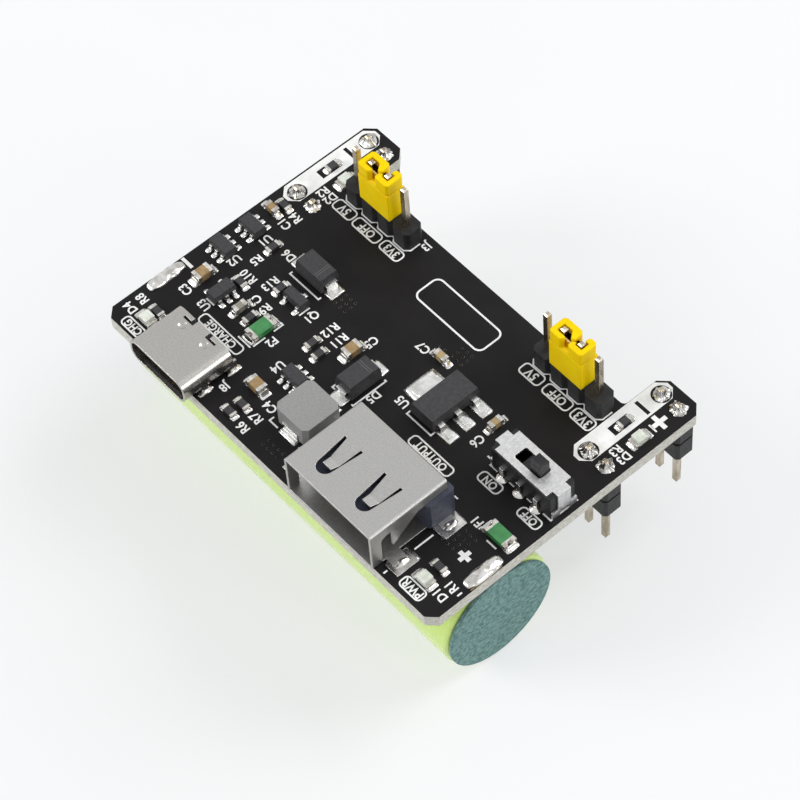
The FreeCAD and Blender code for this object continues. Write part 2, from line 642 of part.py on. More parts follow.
def usbc_solder():
    """Solder on the board beside each leg of the shell."""
    shell = usbc_shell()[0]
    joints = []
    for x, y in USBC_LEGS:
        mound = solder_mound(x, y, 0, USBC_SOLDER_WIDTH, USBC_SOLDER_LENGTH, USBC_SOLDER_HEIGHT)
        outline = usbc_tube(0, USBC_FRONT_Y, USBC_DEPTH)
        joints.append(max(mound.cut([shell, outline]).Solids, key=lambda s: s.Volume))
    return joints


# USB-A socket
def usba_spring(centre):
    """A spring tongue of the top wall: it slopes down into the mouth and turns up at its tip."""
    root = USBA_FRONT_Y + USBA_SPRING_ROOT
    tip = USBA_FRONT_Y + USBA_SPRING_TIP
    top = USBA_HEIGHT
    t = USBA_WALL
    knee = tip + (root - tip) * 0.3
    side = [V(0, root, top), V(0, knee, top - USBA_SPRING_DROP + t), V(0, tip, top - USBA_SPRING_DROP + 2 * t),
            V(0, tip, top - USBA_SPRING_DROP + t), V(0, knee, top - USBA_SPRING_DROP), V(0, root, top - t)]
    strip = Part.Face(Part.makePolygon(side + side[:1])).extrude(V(USBA_SPRING_ROOT_WIDTH, 0, 0))
    strip.translate(V(centre - USBA_SPRING_ROOT_WIDTH / 2, 0, 0))
    trim = plate([(centre - USBA_SPRING_ROOT_WIDTH / 2, root), (centre - USBA_SPRING_TIP_WIDTH / 2, tip),
                  (centre + USBA_SPRING_TIP_WIDTH / 2, tip), (centre + USBA_SPRING_ROOT_WIDTH / 2, root)], 0, top)
    return strip.common(trim)


def usba_spring_cut(centre):
    """The window round a spring tongue, with a round front."""
    front = USBA_FRONT_Y + USBA_SPRING_CUT_FRONT
    root = USBA_FRONT_Y + USBA_SPRING_ROOT
    radius = USBA_SPRING_CUT_TIP / 2
    z = USBA_HEIGHT - USBA_WALL
    window = plate([(centre - USBA_SPRING_CUT_ROOT / 2, root), (centre - radius, front + radius),
                    (centre + radius, front + radius), (centre + USBA_SPRING_CUT_ROOT / 2, root)], z, USBA_WALL)
    return window.fuse(post(centre, front + radius, z, 2 * radius, USBA_WALL))


def usba_foot_places():
    """Where the shell's solder feet are: the wall's outer face, and the middle of each foot."""
    ys = [USBA_FRONT_Y + USBA_FOOT_FRONT + USBA_FOOT_LENGTH / 2]
    ys.append(ys[0] + USBA_FOOT_SPACING)
    return [(side, USBA_X + side * USBA_WIDTH / 2, y) for side in (-1, 1) for y in ys]


def usba_shell():
    """The folded shell: a box open at the front, with springs in its top and sides and four feet."""
    back = USBA_FRONT_Y + USBA_DEPTH
    middle = USBA_FRONT_Y + USBA_DEPTH / 2
    shell = block(USBA_X, middle, 0, USBA_WIDTH, USBA_DEPTH, USBA_HEIGHT)
    shell = shell.makeFillet(USBA_WALL, edges_along(shell, V(0, 1, 0)))
    hollow = block(USBA_X, middle, USBA_WALL, USBA_WIDTH - 2 * USBA_WALL, USBA_DEPTH,
                   USBA_HEIGHT - 2 * USBA_WALL)
    window_front = USBA_FRONT_Y + USBA_LEG_WIDTH
    window = between((USBA_X - USBA_WIDTH, window_front, USBA_WALL),
                     (USBA_X + USBA_WIDTH, back, USBA_WINDOW_TOP))
    corner = [e for e in edges_along(window, V(1, 0, 0))
              if abs(e.BoundBox.YMin - window_front) < 1e-6 and e.BoundBox.ZMin > USBA_WALL + 1e-6]
    window = window.makeFillet(USBA_WINDOW_ROUND, corner)
    slots = [usba_spring_cut(USBA_X + side * USBA_SPRING_OFFSET) for side in (-1, 1)]
    shell = shell.cut([hollow, window] + slots)
    added = [usba_spring(USBA_X + side * USBA_SPRING_OFFSET) for side in (-1, 1)]
    for side in (-1, 1):
        inner = USBA_X + side * (USBA_WIDTH / 2 - (USBA_WALL if side > 0 else 0))
        start = USBA_FRONT_Y + USBA_SIDE_SPRING_FRONT
        corners = [V(inner, start, USBA_WINDOW_TOP), V(inner, start, USBA_SIDE_SPRING_TIP),
                   V(inner, USBA_FRONT_Y + USBA_SIDE_SPRING_BACK, USBA_WINDOW_TOP)]
        spring = Part.Face(Part.makePolygon(corners + corners[:1]))
        added.append(spring.extrude(V(USBA_WALL, 0, 0)))
    for side, x, y in usba_foot_places():
        reach = USBA_FOOT_REACH + USBA_WALL
        added.append(block(x + side * (reach / 2 - USBA_WALL), y, 0, reach, USBA_FOOT_LENGTH, USBA_WALL))
    return [shell.fuse(added).removeSplitter()]


def usba_insulator():
    """The moulded insulator: a rear block, lower ears that stand out at the sides and back, and the tongue."""
    back = USBA_FRONT_Y + USBA_DEPTH
    inside = USBA_WIDTH - 2 * USBA_WALL
    rear = block(USBA_X, back - USBA_BLOCK_DEPTH / 2, USBA_WALL, inside, USBA_BLOCK_DEPTH, USBA_HEIGHT - 2 * USBA_WALL)
    depth = USBA_BLOCK_DEPTH + USBA_BLOCK_OVERHANG
    ears = block(USBA_X, back + USBA_BLOCK_OVERHANG - depth / 2, USBA_WALL, USBA_WIDTH + 2 * USBA_EAR_REACH,
                 depth, USBA_WINDOW_TOP - USBA_EAR_DROP - USBA_WALL)
    ears = ears.makeChamfer(USBA_EAR_BEVEL, edges_along(ears, V(0, 0, 1)))
    length = USBA_DEPTH - USBA_BLOCK_DEPTH - USBA_TONGUE_RECESS
    tongue_z = USBA_HEIGHT - USBA_WALL - USBA_TONGUE_DROP - USBA_TONGUE_THICKNESS
    tongue = block(USBA_X, USBA_FRONT_Y + USBA_TONGUE_RECESS + length / 2, tongue_z,
                   inside - 2 * USBA_TONGUE_SIDE_GAP, length, USBA_TONGUE_THICKNESS)
    return [rear.fuse([ears, tongue]).removeSplitter()]


def usba_contacts():
    """Four contacts under the tongue, each with a tail that comes down behind the socket."""
    tongue_z = USBA_HEIGHT - USBA_WALL - USBA_TONGUE_DROP - USBA_TONGUE_THICKNESS
    start = USBA_FRONT_Y + USBA_DEPTH - USBA_BLOCK_DEPTH - USBA_CONTACT_LENGTH
    back = USBA_FRONT_Y + USBA_DEPTH + USBA_BLOCK_OVERHANG
    t = USBA_CONTACT_THICKNESS
    contacts = []
    for x in (-USBA_CONTACT_OUTER, -USBA_CONTACT_INNER, USBA_CONTACT_INNER, USBA_CONTACT_OUTER):
        low = USBA_X + x - USBA_CONTACT_WIDTH / 2
        high = USBA_X + x + USBA_CONTACT_WIDTH / 2
        blade = between((low, start, tongue_z - t), (high, start + USBA_CONTACT_LENGTH, tongue_z))
        riser = between((low, back, 0), (high, back + t, tongue_z))
        foot = between((low, back, 0), (high, back + USBA_TAIL_REACH, t))
        contacts += [blade, riser.fuse(foot).removeSplitter()]
    return contacts


def usba_solder():
    """Solder round the end of each foot of the shell."""
    shell = usba_shell()[0]
    joints = []
    for side, x, y in usba_foot_places():
        width = USBA_FOOT_REACH + USBA_FOOT_SOLDER
        pad = block(x + side * (width / 2 + USBA_WALL), y, 0, width - USBA_WALL, USBA_FOOT_LENGTH + 1.0, USBA_WALL * 0.8)
        joints.append(pad.cut([shell]))
    return joints


# Slide switch
def switch_base():
    """The moulded base: an open box with a cavity for the slider."""
    base = block(SWITCH_X, SWITCH_Y, 0, SWITCH_BASE_LENGTH, SWITCH_BASE_WIDTH, SWITCH_COVER_BOTTOM)
    base = base.makeFillet(SWITCH_SLOT_ROUND, edges_along(base, V(0, 0, 1)))
    cavity = block(SWITCH_X, SWITCH_Y, SWITCH_FLOOR, SWITCH_BASE_LENGTH - 2 * SWITCH_WALL - 0.6,
                   SWITCH_BASE_WIDTH - 2 * SWITCH_WALL, SWITCH_COVER_BOTTOM - SWITCH_FLOOR)
    return [base.cut(cavity)]


def switch_cover():
    """The folded steel cover: a slotted top, and a flange at each end that stands on the board."""
    z = SWITCH_COVER_BOTTOM
    t = SWITCH_COVER_THICKNESS
    flange_x = SWITCH_BASE_LENGTH / 2 + SWITCH_COVER_CLEARANCE
    top = block(SWITCH_X, SWITCH_Y, z, SWITCH_COVER_LENGTH, SWITCH_COVER_WIDTH, t)
    cross = block(SWITCH_X, SWITCH_Y, z, 2 * (flange_x + t), SWITCH_COVER_END_WIDTH, t)
    slot = block(SWITCH_X, SWITCH_Y, z, SWITCH_SLOT_LENGTH, SWITCH_SLOT_WIDTH, t)
    slot = slot.makeFillet(SWITCH_SLOT_ROUND, edges_along(slot, V(0, 0, 1)))
    parts = [cross]
    arches = [slot]
    for side in (-1, 1):
        x = SWITCH_X + side * (flange_x + t / 2)
        parts.append(block(x, SWITCH_Y, 0, t, SWITCH_COVER_END_WIDTH, z))
        parts.append(block(x, SWITCH_Y, 0, t, SWITCH_FLANGE_FOOT_WIDTH, SWITCH_FLANGE_FOOT_HEIGHT))
        arches.append(block(x, SWITCH_Y, 0, t, SWITCH_FLANGE_ARCH, SWITCH_FLANGE_ARCH_HEIGHT))
    return [top.fuse(parts).cut(arches).removeSplitter()]


def switch_slider():
    """The knob and the carriage that it stands on, at the OFF end."""
    x = SWITCH_X + SWITCH_TRAVEL / 2
    low = SWITCH_FLOOR + SWITCH_CLEARANCE
    high = SWITCH_COVER_BOTTOM - SWITCH_CLEARANCE
    width = SWITCH_BASE_WIDTH - 2 * SWITCH_WALL - 2 * SWITCH_CLEARANCE
    knob_top = SWITCH_HEIGHT + SWITCH_KNOB_HEIGHT
    knob = block(x, SWITCH_Y, low, SWITCH_KNOB_LENGTH, SWITCH_KNOB_WIDTH, knob_top - low)
    knob = knob.makeChamfer(SWITCH_KNOB_BEVEL, edges_at(knob, knob_top))
    carriage = block(x, SWITCH_Y, low, SWITCH_SLIDER_LENGTH, width, high - low)
    return [knob.fuse(carriage).removeSplitter()]


def switch_terminals():
    """Three terminals that leave the front of the base and turn down through the board."""
    front = SWITCH_Y - SWITCH_BASE_WIDTH / 2
    t = SWITCH_TERMINAL_THICKNESS
    terminals = []
    for x in SWITCH_TERMINAL_XS:
        low = BOARD_BOTTOM - SWITCH_TERMINAL_TAIL
        leg = block(x, SWITCH_TERMINAL_Y, low, SWITCH_TERMINAL_WIDTH, t, SWITCH_TERMINAL_TOP - low)
        stub = block(x, front - SWITCH_TERMINAL_STANDOFF / 2, SWITCH_TERMINAL_TOP - t, SWITCH_TERMINAL_WIDTH,
                     SWITCH_TERMINAL_STANDOFF, t)
        terminals.append(leg.fuse(stub).removeSplitter())
    return terminals


# Surface-mounted parts
def bent_lead(width, thickness, exit_z, reach):
    """A lead that leaves a body at X = 0 and steps down to the board in the +X direction."""
    step = reach * 0.3
    t = thickness
    return folded([(0, exit_z), (step, exit_z), (step + t, 0 + t), (reach, t), (reach, 0), (step, 0),
                   (step - t / 2, exit_z - t), (0, exit_z - t)], width)


def drafted_body(length, width, z, height, draft):
    """A moulded body whose walls lean in above its middle."""
    low = block(0, 0, z, length, width, height / 2)
    top_z = z + height
    rim = [V(sx * length / 2, sy * width / 2, z + height / 2) for sx, sy in ((-1, -1), (1, -1), (1, 1), (-1, 1))]
    lid = [V(sx * (length / 2 - draft), sy * (width / 2 - draft), top_z)
           for sx, sy in ((-1, -1), (1, -1), (1, 1), (-1, 1))]
    upper = Part.makeLoft([Part.makePolygon(rim + rim[:1]), Part.makePolygon(lid + lid[:1])], True, True)
    return low.fuse(upper).removeSplitter()


def inductor_core():
    """The pressed core of the inductor, with cut corners."""
    lift = INDUCTOR_TERMINAL_THICKNESS
    core = block(INDUCTOR_X, INDUCTOR_Y, lift, INDUCTOR_SIDE, INDUCTOR_SIDE, INDUCTOR_HEIGHT - lift)
    return [core.makeChamfer(INDUCTOR_CORNER, edges_along(core, V(0, 0, 1)))]


def inductor_terminals():
    """Two terminals that lie under the core and turn up its front and back."""
    t = INDUCTOR_TERMINAL_THICKNESS
    half = INDUCTOR_SIDE / 2
    side = folded([(half - 1.2, 0), (half + INDUCTOR_TERMINAL_FOOT, 0), (half + INDUCTOR_TERMINAL_FOOT, t),
                   (half + t, t), (half + t, INDUCTOR_TERMINAL_HEIGHT), (half, INDUCTOR_TERMINAL_HEIGHT),
                   (half, t), (half - 1.2, t)], INDUCTOR_TERMINAL_WIDTH)
    return [placed(side, INDUCTOR_X, INDUCTOR_Y, angle=a) for a in (90, 270)]


def regulator_body():
    """The moulded body of the regulator."""
    body = drafted_body(REGULATOR_WIDTH, REGULATOR_LENGTH, CHIP_LIFT, REGULATOR_HEIGHT - CHIP_LIFT, DIODE_DRAFT)
    return [placed(body, REGULATOR_X, REGULATOR_Y)]


def regulator_leads():
    """Three leads on the right and the wide tab on the left."""
    exit_z = REGULATOR_HEIGHT / 2
    lead = bent_lead(REGULATOR_LEAD_WIDTH, REGULATOR_LEAD_THICKNESS, exit_z, REGULATOR_LEAD_REACH)
    tab = bent_lead(REGULATOR_TAB_WIDTH, REGULATOR_LEAD_THICKNESS, exit_z, REGULATOR_LEAD_REACH)
    right = REGULATOR_X + REGULATOR_WIDTH / 2
    leads = [placed(lead, right, REGULATOR_Y + i * REGULATOR_LEAD_PITCH) for i in (-1, 0, 1)]
    return leads + [placed(tab, REGULATOR_X - REGULATOR_WIDTH / 2, REGULATOR_Y, angle=180)]


def diode_bodies():
    """The two moulded diode bodies."""
    lift = DIODE_LEAD_THICKNESS
    body = drafted_body(DIODE_LENGTH, DIODE_WIDTH, lift, DIODE_HEIGHT - lift, DIODE_DRAFT)
    return [placed(body, *place) for place in DIODE_PLACES]


def diode_leads():
    """Leads that leave each end of a diode half way up and turn down and under it."""
    t = DIODE_LEAD_THICKNESS
    r = DIODE_LEAD_REACH
    lead = folded([(0, DIODE_LEAD_EXIT), (r, DIODE_LEAD_EXIT), (r, 0), (-0.9, 0), (-0.9, t), (r - t, t),
                   (r - t, DIODE_LEAD_EXIT - t), (0, DIODE_LEAD_EXIT - t)], DIODE_LEAD_WIDTH)
    leads = []
    for x, y, turned in DIODE_PLACES:
        for angle in (0, 180):
            end = placed(lead, DIODE_LENGTH / 2, 0)
            leads.append(placed(end, x, y, turned, angle))
    return leads


def chip_body(width):
    """The moulded body of a small chip."""
    return drafted_body(CHIP_LENGTH, width, CHIP_LIFT, CHIP_HEIGHT - CHIP_LIFT, CHIP_LIFT)


def six_lead_chips():
    """The bodies of the three six-lead chips."""
    return [placed(chip_body(CHIP_WIDTH), *place) for place in SIX_LEAD_PLACES]


def five_lead_chip():
    """The body of the five-lead chip."""
    return [placed(chip_body(CHIP_WIDTH), *FIVE_LEAD_PLACE)]


def transistor():
    """The body of the three-lead transistor."""
    return [placed(chip_body(TRANSISTOR_WIDTH), *TRANSISTOR_PLACE)]


def lead_row(place, width, columns, side):
    """Leads along one long side of a small chip, at the given columns."""
    x, y, turned = place
    lead = bent_lead(CHIP_LEAD_WIDTH, CHIP_LEAD_THICKNESS, CHIP_HEIGHT / 2, CHIP_LEAD_REACH)
    row = []
    for column in columns:
        at_side = placed(lead, 0, 0, angle=90 * side)
        at_side.translate(V(column * CHIP_LEAD_PITCH, side * width / 2, 0))
        row.append(placed(at_side, x, y, turned))
    return row


def chip_leads():
    """The leads of all the small chips."""
    leads = []
    for place in SIX_LEAD_PLACES:
        leads += lead_row(place, CHIP_WIDTH, (-1, 0, 1), -1) + lead_row(place, CHIP_WIDTH, (-1, 0, 1), 1)
    leads += lead_row(FIVE_LEAD_PLACE, CHIP_WIDTH, (-1, 0, 1), -1)
    leads += lead_row(FIVE_LEAD_PLACE, CHIP_WIDTH, (-1, 1), 1)
    leads += lead_row(TRANSISTOR_PLACE, TRANSISTOR_WIDTH, (-1, 1), -1)
    leads += lead_row(TRANSISTOR_PLACE, TRANSISTOR_WIDTH, (0,), 1)
    return leads


def two_ended(size, end, places, notch=0):
    """The bodies and the end caps of two-ended parts of one size; a notch is a round one in each end."""
    length, width, height = size
    bodies = []
    ends = []
    for place in places:
        bodies.append(placed(block(0, 0, 0, length - 2 * end, width, height), *place))
        for side in (-1, 1):
            cap = block(side * (length - end) / 2, 0, 0, end, width + 2 * END_CAP_PROUD, height + END_CAP_PROUD)
            if notch:
                cap = cap.cut(post(side * length / 2, 0, 0, 2 * notch, height + END_CAP_PROUD))
            ends.append(placed(cap, *place))
    return bodies, ends


def lights():
    """The lights: a low base with a clear lens block on it, and metal ends."""
    length, width, height = LIGHT
    base = block(0, 0, 0, length - 2 * LIGHT_END, width, LIGHT_BASE_HEIGHT)
    lens = block(0, 0, LIGHT_BASE_HEIGHT, LIGHT_LENS_LENGTH, width, height - LIGHT_BASE_HEIGHT)
    end = two_ended((length, width, LIGHT_BASE_HEIGHT), LIGHT_END, LIGHT_PLACES)[1]
    return [placed(base.fuse(lens).removeSplitter(), *place) for place in LIGHT_PLACES], end


def build():
    """Every node of the module, by name, as a list of solids."""
    large_bodies, large_ends = two_ended(LARGE_CAPACITOR, CAPACITOR_END, LARGE_CAPACITOR_PLACES)
    small_bodies, small_ends = two_ended(SMALL_CAPACITOR, CAPACITOR_END, SMALL_CAPACITOR_PLACES)
    resistor_bodies, resistor_ends = two_ended(RESISTOR, RESISTOR_END, RESISTOR_PLACES)
    fuse_bodies, fuse_ends = two_ended((FUSE_LENGTH, FUSE_WIDTH, FUSE_HEIGHT), FUSE_END, FUSE_PLACES,
                                        FUSE_NOTCH)
    light_bodies, light_ends = lights()
    return {
        "circuit_board": circuit_board(),
        "rail_spacers_upper": rail_spacers(BOARD_BOTTOM - SPACER_HEIGHT),
        "rail_spacers_lower": rail_spacers(SEAT_Z),
        "rail_pins": rail_pins(),
        "rail_pin_solder": rail_pin_solder(),
        "jumper_header_bases": jumper_bases(),
        "jumper_header_pins": [jumper_pin(x, y) for x, y in JUMPER_PLACES],
        "under_board_solder": under_solder(),
        "left_jumper_cap": jumper_cap(LEFT_JUMPER_X),
        "left_jumper_clip": jumper_clip(LEFT_JUMPER_X),
        "right_jumper_cap": jumper_cap(RIGHT_JUMPER_X),
        "right_jumper_clip": jumper_clip(RIGHT_JUMPER_X),
        "battery_can": cell_can(),
        "battery_sleeve": cell_sleeve(),
        "battery_strips": cell_strips(),
        "battery_strip_solder": strip_solder(),
        "battery_end_discs": cell_discs(),
        "battery_tape": cell_tape(),
        "usb_c_shell": usbc_shell(),
        "usb_c_tongue": usbc_tongue(),
        "usb_c_contacts": usbc_contacts(),
        "usb_c_solder": usbc_solder(),
        "usb_a_shell": usba_shell(),
        "usb_a_insulator": usba_insulator(),
        "usb_a_contacts": usba_contacts(),
        "usb_a_solder": usba_solder(),
        "switch_base": switch_base(),
        "switch_cover": switch_cover(),
        "switch_slider": switch_slider(),
        "switch_terminals": switch_terminals(),
        "inductor_core": inductor_core(),
        "inductor_terminals": inductor_terminals(),
        "regulator_body": regulator_body(),
        "regulator_leads": regulator_leads(),
        "diode_bodies": diode_bodies(),
        "diode_leads": diode_leads(),
        "six_lead_chips": six_lead_chips(),
        "five_lead_chip": five_lead_chip(),
        "transistor_body": transistor(),
        "chip_leads": chip_leads(),
        "fuse_bodies": fuse_bodies,
        "fuse_ends": fuse_ends,
        "capacitor_bodies": large_bodies + small_bodies,
        "capacitor_ends": large_ends + small_ends,
        "resistor_bodies": resistor_bodies,
        "resistor_ends": resistor_ends,
        "light_bodies": light_bodies,
        "light_ends": light_ends,
    }


def origin_shift(nodes):
    """The move that puts the origin at the assembly's bottom centre."""
    everything = Part.makeCompound([solid for solids in nodes.values() for solid in solids])
    bounds = everything.optimalBoundingBox(False)
    return V(-(bounds.XMin + bounds.XMax) / 2, -(bounds.YMin + bounds.YMax) / 2, -bounds.ZMin)


NODES = build()
SHIFT = origin_shift(NODES)
os.makedirs("parts", exist_ok=True)
for name, solids in NODES.items():
    shape = solids[0] if len(solids) == 1 else Part.makeCompound(solids)
    shape.translate(SHIFT)
    shape.exportStep("parts/" + name + ".step")
print("origin shift", [round(v, 3) for v in SHIFT])
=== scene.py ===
"""Looks of the breadboard power supply module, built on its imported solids."""

import math

import bmesh
import bpy
from mathutils import Matrix, Vector, noise


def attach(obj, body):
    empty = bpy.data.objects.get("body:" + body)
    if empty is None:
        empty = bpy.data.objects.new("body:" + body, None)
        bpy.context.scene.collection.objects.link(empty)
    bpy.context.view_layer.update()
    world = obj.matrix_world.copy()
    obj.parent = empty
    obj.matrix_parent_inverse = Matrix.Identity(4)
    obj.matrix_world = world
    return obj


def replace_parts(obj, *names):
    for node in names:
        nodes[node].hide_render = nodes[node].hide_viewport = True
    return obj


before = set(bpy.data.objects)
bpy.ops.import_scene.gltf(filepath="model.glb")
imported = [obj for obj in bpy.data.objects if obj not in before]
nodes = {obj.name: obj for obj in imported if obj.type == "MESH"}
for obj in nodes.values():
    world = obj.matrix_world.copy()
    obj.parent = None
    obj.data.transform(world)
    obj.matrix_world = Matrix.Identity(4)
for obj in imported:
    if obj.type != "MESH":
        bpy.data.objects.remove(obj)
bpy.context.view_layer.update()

MM = 0.001
# The board's own frame, in mm: X and Y from the front left rail pin, Z from the board's top face
BOARD_ORIGIN = Vector((-24.13, 7.175, 16.2))
PITCH = 2.54
RAIL_X = (0.0, 45.72)
RAIL_Y = (0.0, 10.16)
JUMPER_X = (5.28, 34.89)
BOARD_TOP = 0.0


def at(x, y, z=0.0):
    """A point given in the board's frame, in metres in the part's frame."""
    return (Vector((x, y, z)) + BOARD_ORIGIN) * MM


# Materials
def node_tree(name):
    """A new material's nodes and links, with its shader."""
    mat = bpy.data.materials.new(name)
    mat.use_nodes = True
    tree = mat.node_tree
    return mat, tree.nodes, tree.links, tree.nodes["Principled BSDF"]


def add(tree_nodes, kind, **values):
    """A node with some of its properties and inputs set."""
    node = tree_nodes.new(kind)
    for key, value in values.items():
        if hasattr(node, key):
            setattr(node, key, value)
        else:
            node.inputs[key.replace("_", " ")].default_value = value
    return node


def noise_at(tn, tl, scale, stretch=(1, 1, 1), detail=3.0, turn=0.0):
    """Noise fixed to the object, stretched along its axes."""
    coord = add(tn, "ShaderNodeTexCoord")
    mapping = add(tn, "ShaderNodeMapping")
    mapping.inputs["Scale"].default_value = stretch
    mapping.inputs["Rotation"].default_value = (0, 0, turn)
    tex = add(tn, "ShaderNodeTexNoise")
    tex.inputs["Scale"].default_value = scale
    tex.inputs["Detail"].default_value = detail
    tl.new(coord.outputs["Object"], mapping.inputs["Vector"])
    tl.new(mapping.outputs["Vector"], tex.inputs["Vector"])
    return tex.outputs["Fac"]


def spread(tn, tl, value, low, high, start=0.35, end=0.65):
    """A value remapped from its middle range to low and high."""
    node = add(tn, "ShaderNodeMapRange")
    node.inputs["From Min"].default_value = start
    node.inputs["From Max"].default_value = end
    node.inputs["To Min"].default_value = low
    node.inputs["To Max"].default_value = high
    tl.new(value, node.inputs["Value"])
    return node.outputs["Result"]


def blend_colours(tn, tl, factor, first, second):
    """Two colours mixed by a factor; either may be a socket."""
    node = add(tn, "ShaderNodeMix", data_type="RGBA")
    tl.new(factor, node.inputs[0])
    for socket, colour in ((node.inputs[6], first), (node.inputs[7], second)):
        if isinstance(colour, tuple):
            socket.default_value = colour + (1.0,)
        else:
            tl.new(colour, socket)
    return node.outputs[2]


def bumped(tn, tl, shader, height, strength, distance, rounding):
    """Fine relief on the shader, over softly rounded edges."""
    bump = add(tn, "ShaderNodeBump")
    bump.inputs["Strength"].default_value = strength
    bump.inputs["Distance"].default_value = distance * MM
    tl.new(height, bump.inputs["Height"])
    if rounding:
        bevel = add(tn, "ShaderNodeBevel", samples=6)
        bevel.inputs["Radius"].default_value = rounding * MM
        tl.new(bevel.outputs["Normal"], bump.inputs["Normal"])
    tl.new(bump.outputs["Normal"], shader.inputs["Normal"])


def finish(name, colour, other, rough, metallic=0.0, patch=900.0, grain=9000.0, stretch=(1, 1, 1), turn=0.0,
           bump=0.25, depth=0.01, rounding=0.06, coat=0.0, specular=0.5, soften=0.0):
    """A procedural finish: two tones in patches, and grain in the roughness and the relief."""
    mat, tn, tl, shader = node_tree(name)
    patches = noise_at(tn, tl, patch, stretch, 4.0, turn)
    fine = noise_at(tn, tl, grain, stretch, 2.0, turn)
    tl.new(blend_colours(tn, tl, spread(tn, tl, patches, 0, 1), colour, other), shader.inputs["Base Color"])
    tl.new(spread(tn, tl, fine, rough[0], rough[1], 0.3, 0.7), shader.inputs["Roughness"])
    shader.inputs["Metallic"].default_value = metallic
    shader.inputs["Coat Weight"].default_value = coat
    shader.inputs["Specular IOR Level"].default_value = specular
    if soften:
        shader.inputs["Subsurface Weight"].default_value = soften
        shader.inputs["Subsurface Radius"].default_value = (1.0, 0.8, 0.4)
        shader.inputs["Subsurface Scale"].default_value = 0.6 * MM
    bumped(tn, tl, shader, fine, bump, depth, rounding)
    return mat


def lacquered_board():
    """Black lacquer on the two faces, and pale sawn laminate on the edges."""
    mat, tn, tl, shader = node_tree("board")
    coord = add(tn, "ShaderNodeTexCoord")
    split = add(tn, "ShaderNodeSeparateXYZ")
    tl.new(coord.outputs["Normal"], split.inputs["Vector"])
    upright = add(tn, "ShaderNodeMath", operation="ABSOLUTE")
    tl.new(split.outputs["Z"], upright.inputs[0])
    face = add(tn, "ShaderNodeMath", operation="GREATER_THAN")
    face.inputs[1].default_value = 0.5
    tl.new(upright.outputs[0], face.inputs[0])
    fibres = noise_at(tn, tl, 2600.0, (1, 1, 3.5), 6.0)
    laminate = blend_colours(tn, tl, spread(tn, tl, fibres, 0, 1, 0.3, 0.7), (0.36, 0.35, 0.30), (0.72, 0.71, 0.66))
    cloudy = noise_at(tn, tl, 160.0, (1, 1, 1), 3.0)
    lacquer = blend_colours(tn, tl, spread(tn, tl, cloudy, 0, 1), (0.0080, 0.0072, 0.0080), (0.0120, 0.0108, 0.0115))
    tl.new(blend_colours(tn, tl, face.outputs[0], laminate, lacquer), shader.inputs["Base Color"])
    fine = noise_at(tn, tl, 5200.0, (1, 1, 1), 3.0)
    tl.new(spread(tn, tl, fine, 0.36, 0.5, 0.3, 0.7), shader.inputs["Roughness"])
    shader.inputs["Specular IOR Level"].default_value = 0.14
    bumped(tn, tl, shader, fine, 0.2, 0.01, 0.05)
    return mat


def tint_near(mat, centre, radius, colour):
    """Another base colour for the parts of a finish within a radius of a point on the board, in mm."""
    tn, tl = mat.node_tree.nodes, mat.node_tree.links
    base = tn["Principled BSDF"].inputs["Base Color"]
    coord = add(tn, "ShaderNodeTexCoord")
    far = add(tn, "ShaderNodeVectorMath", operation="DISTANCE")
    tl.new(coord.outputs["Object"], far.inputs[0])
    far.inputs[1].default_value = at(*centre, 0.5)
    near = add(tn, "ShaderNodeMath", operation="LESS_THAN")
    near.inputs[1].default_value = radius * MM
    tl.new(far.outputs["Value"], near.inputs[0])
    tl.new(blend_colours(tn, tl, near.outputs[0], base.links[0].from_socket, colour), base)


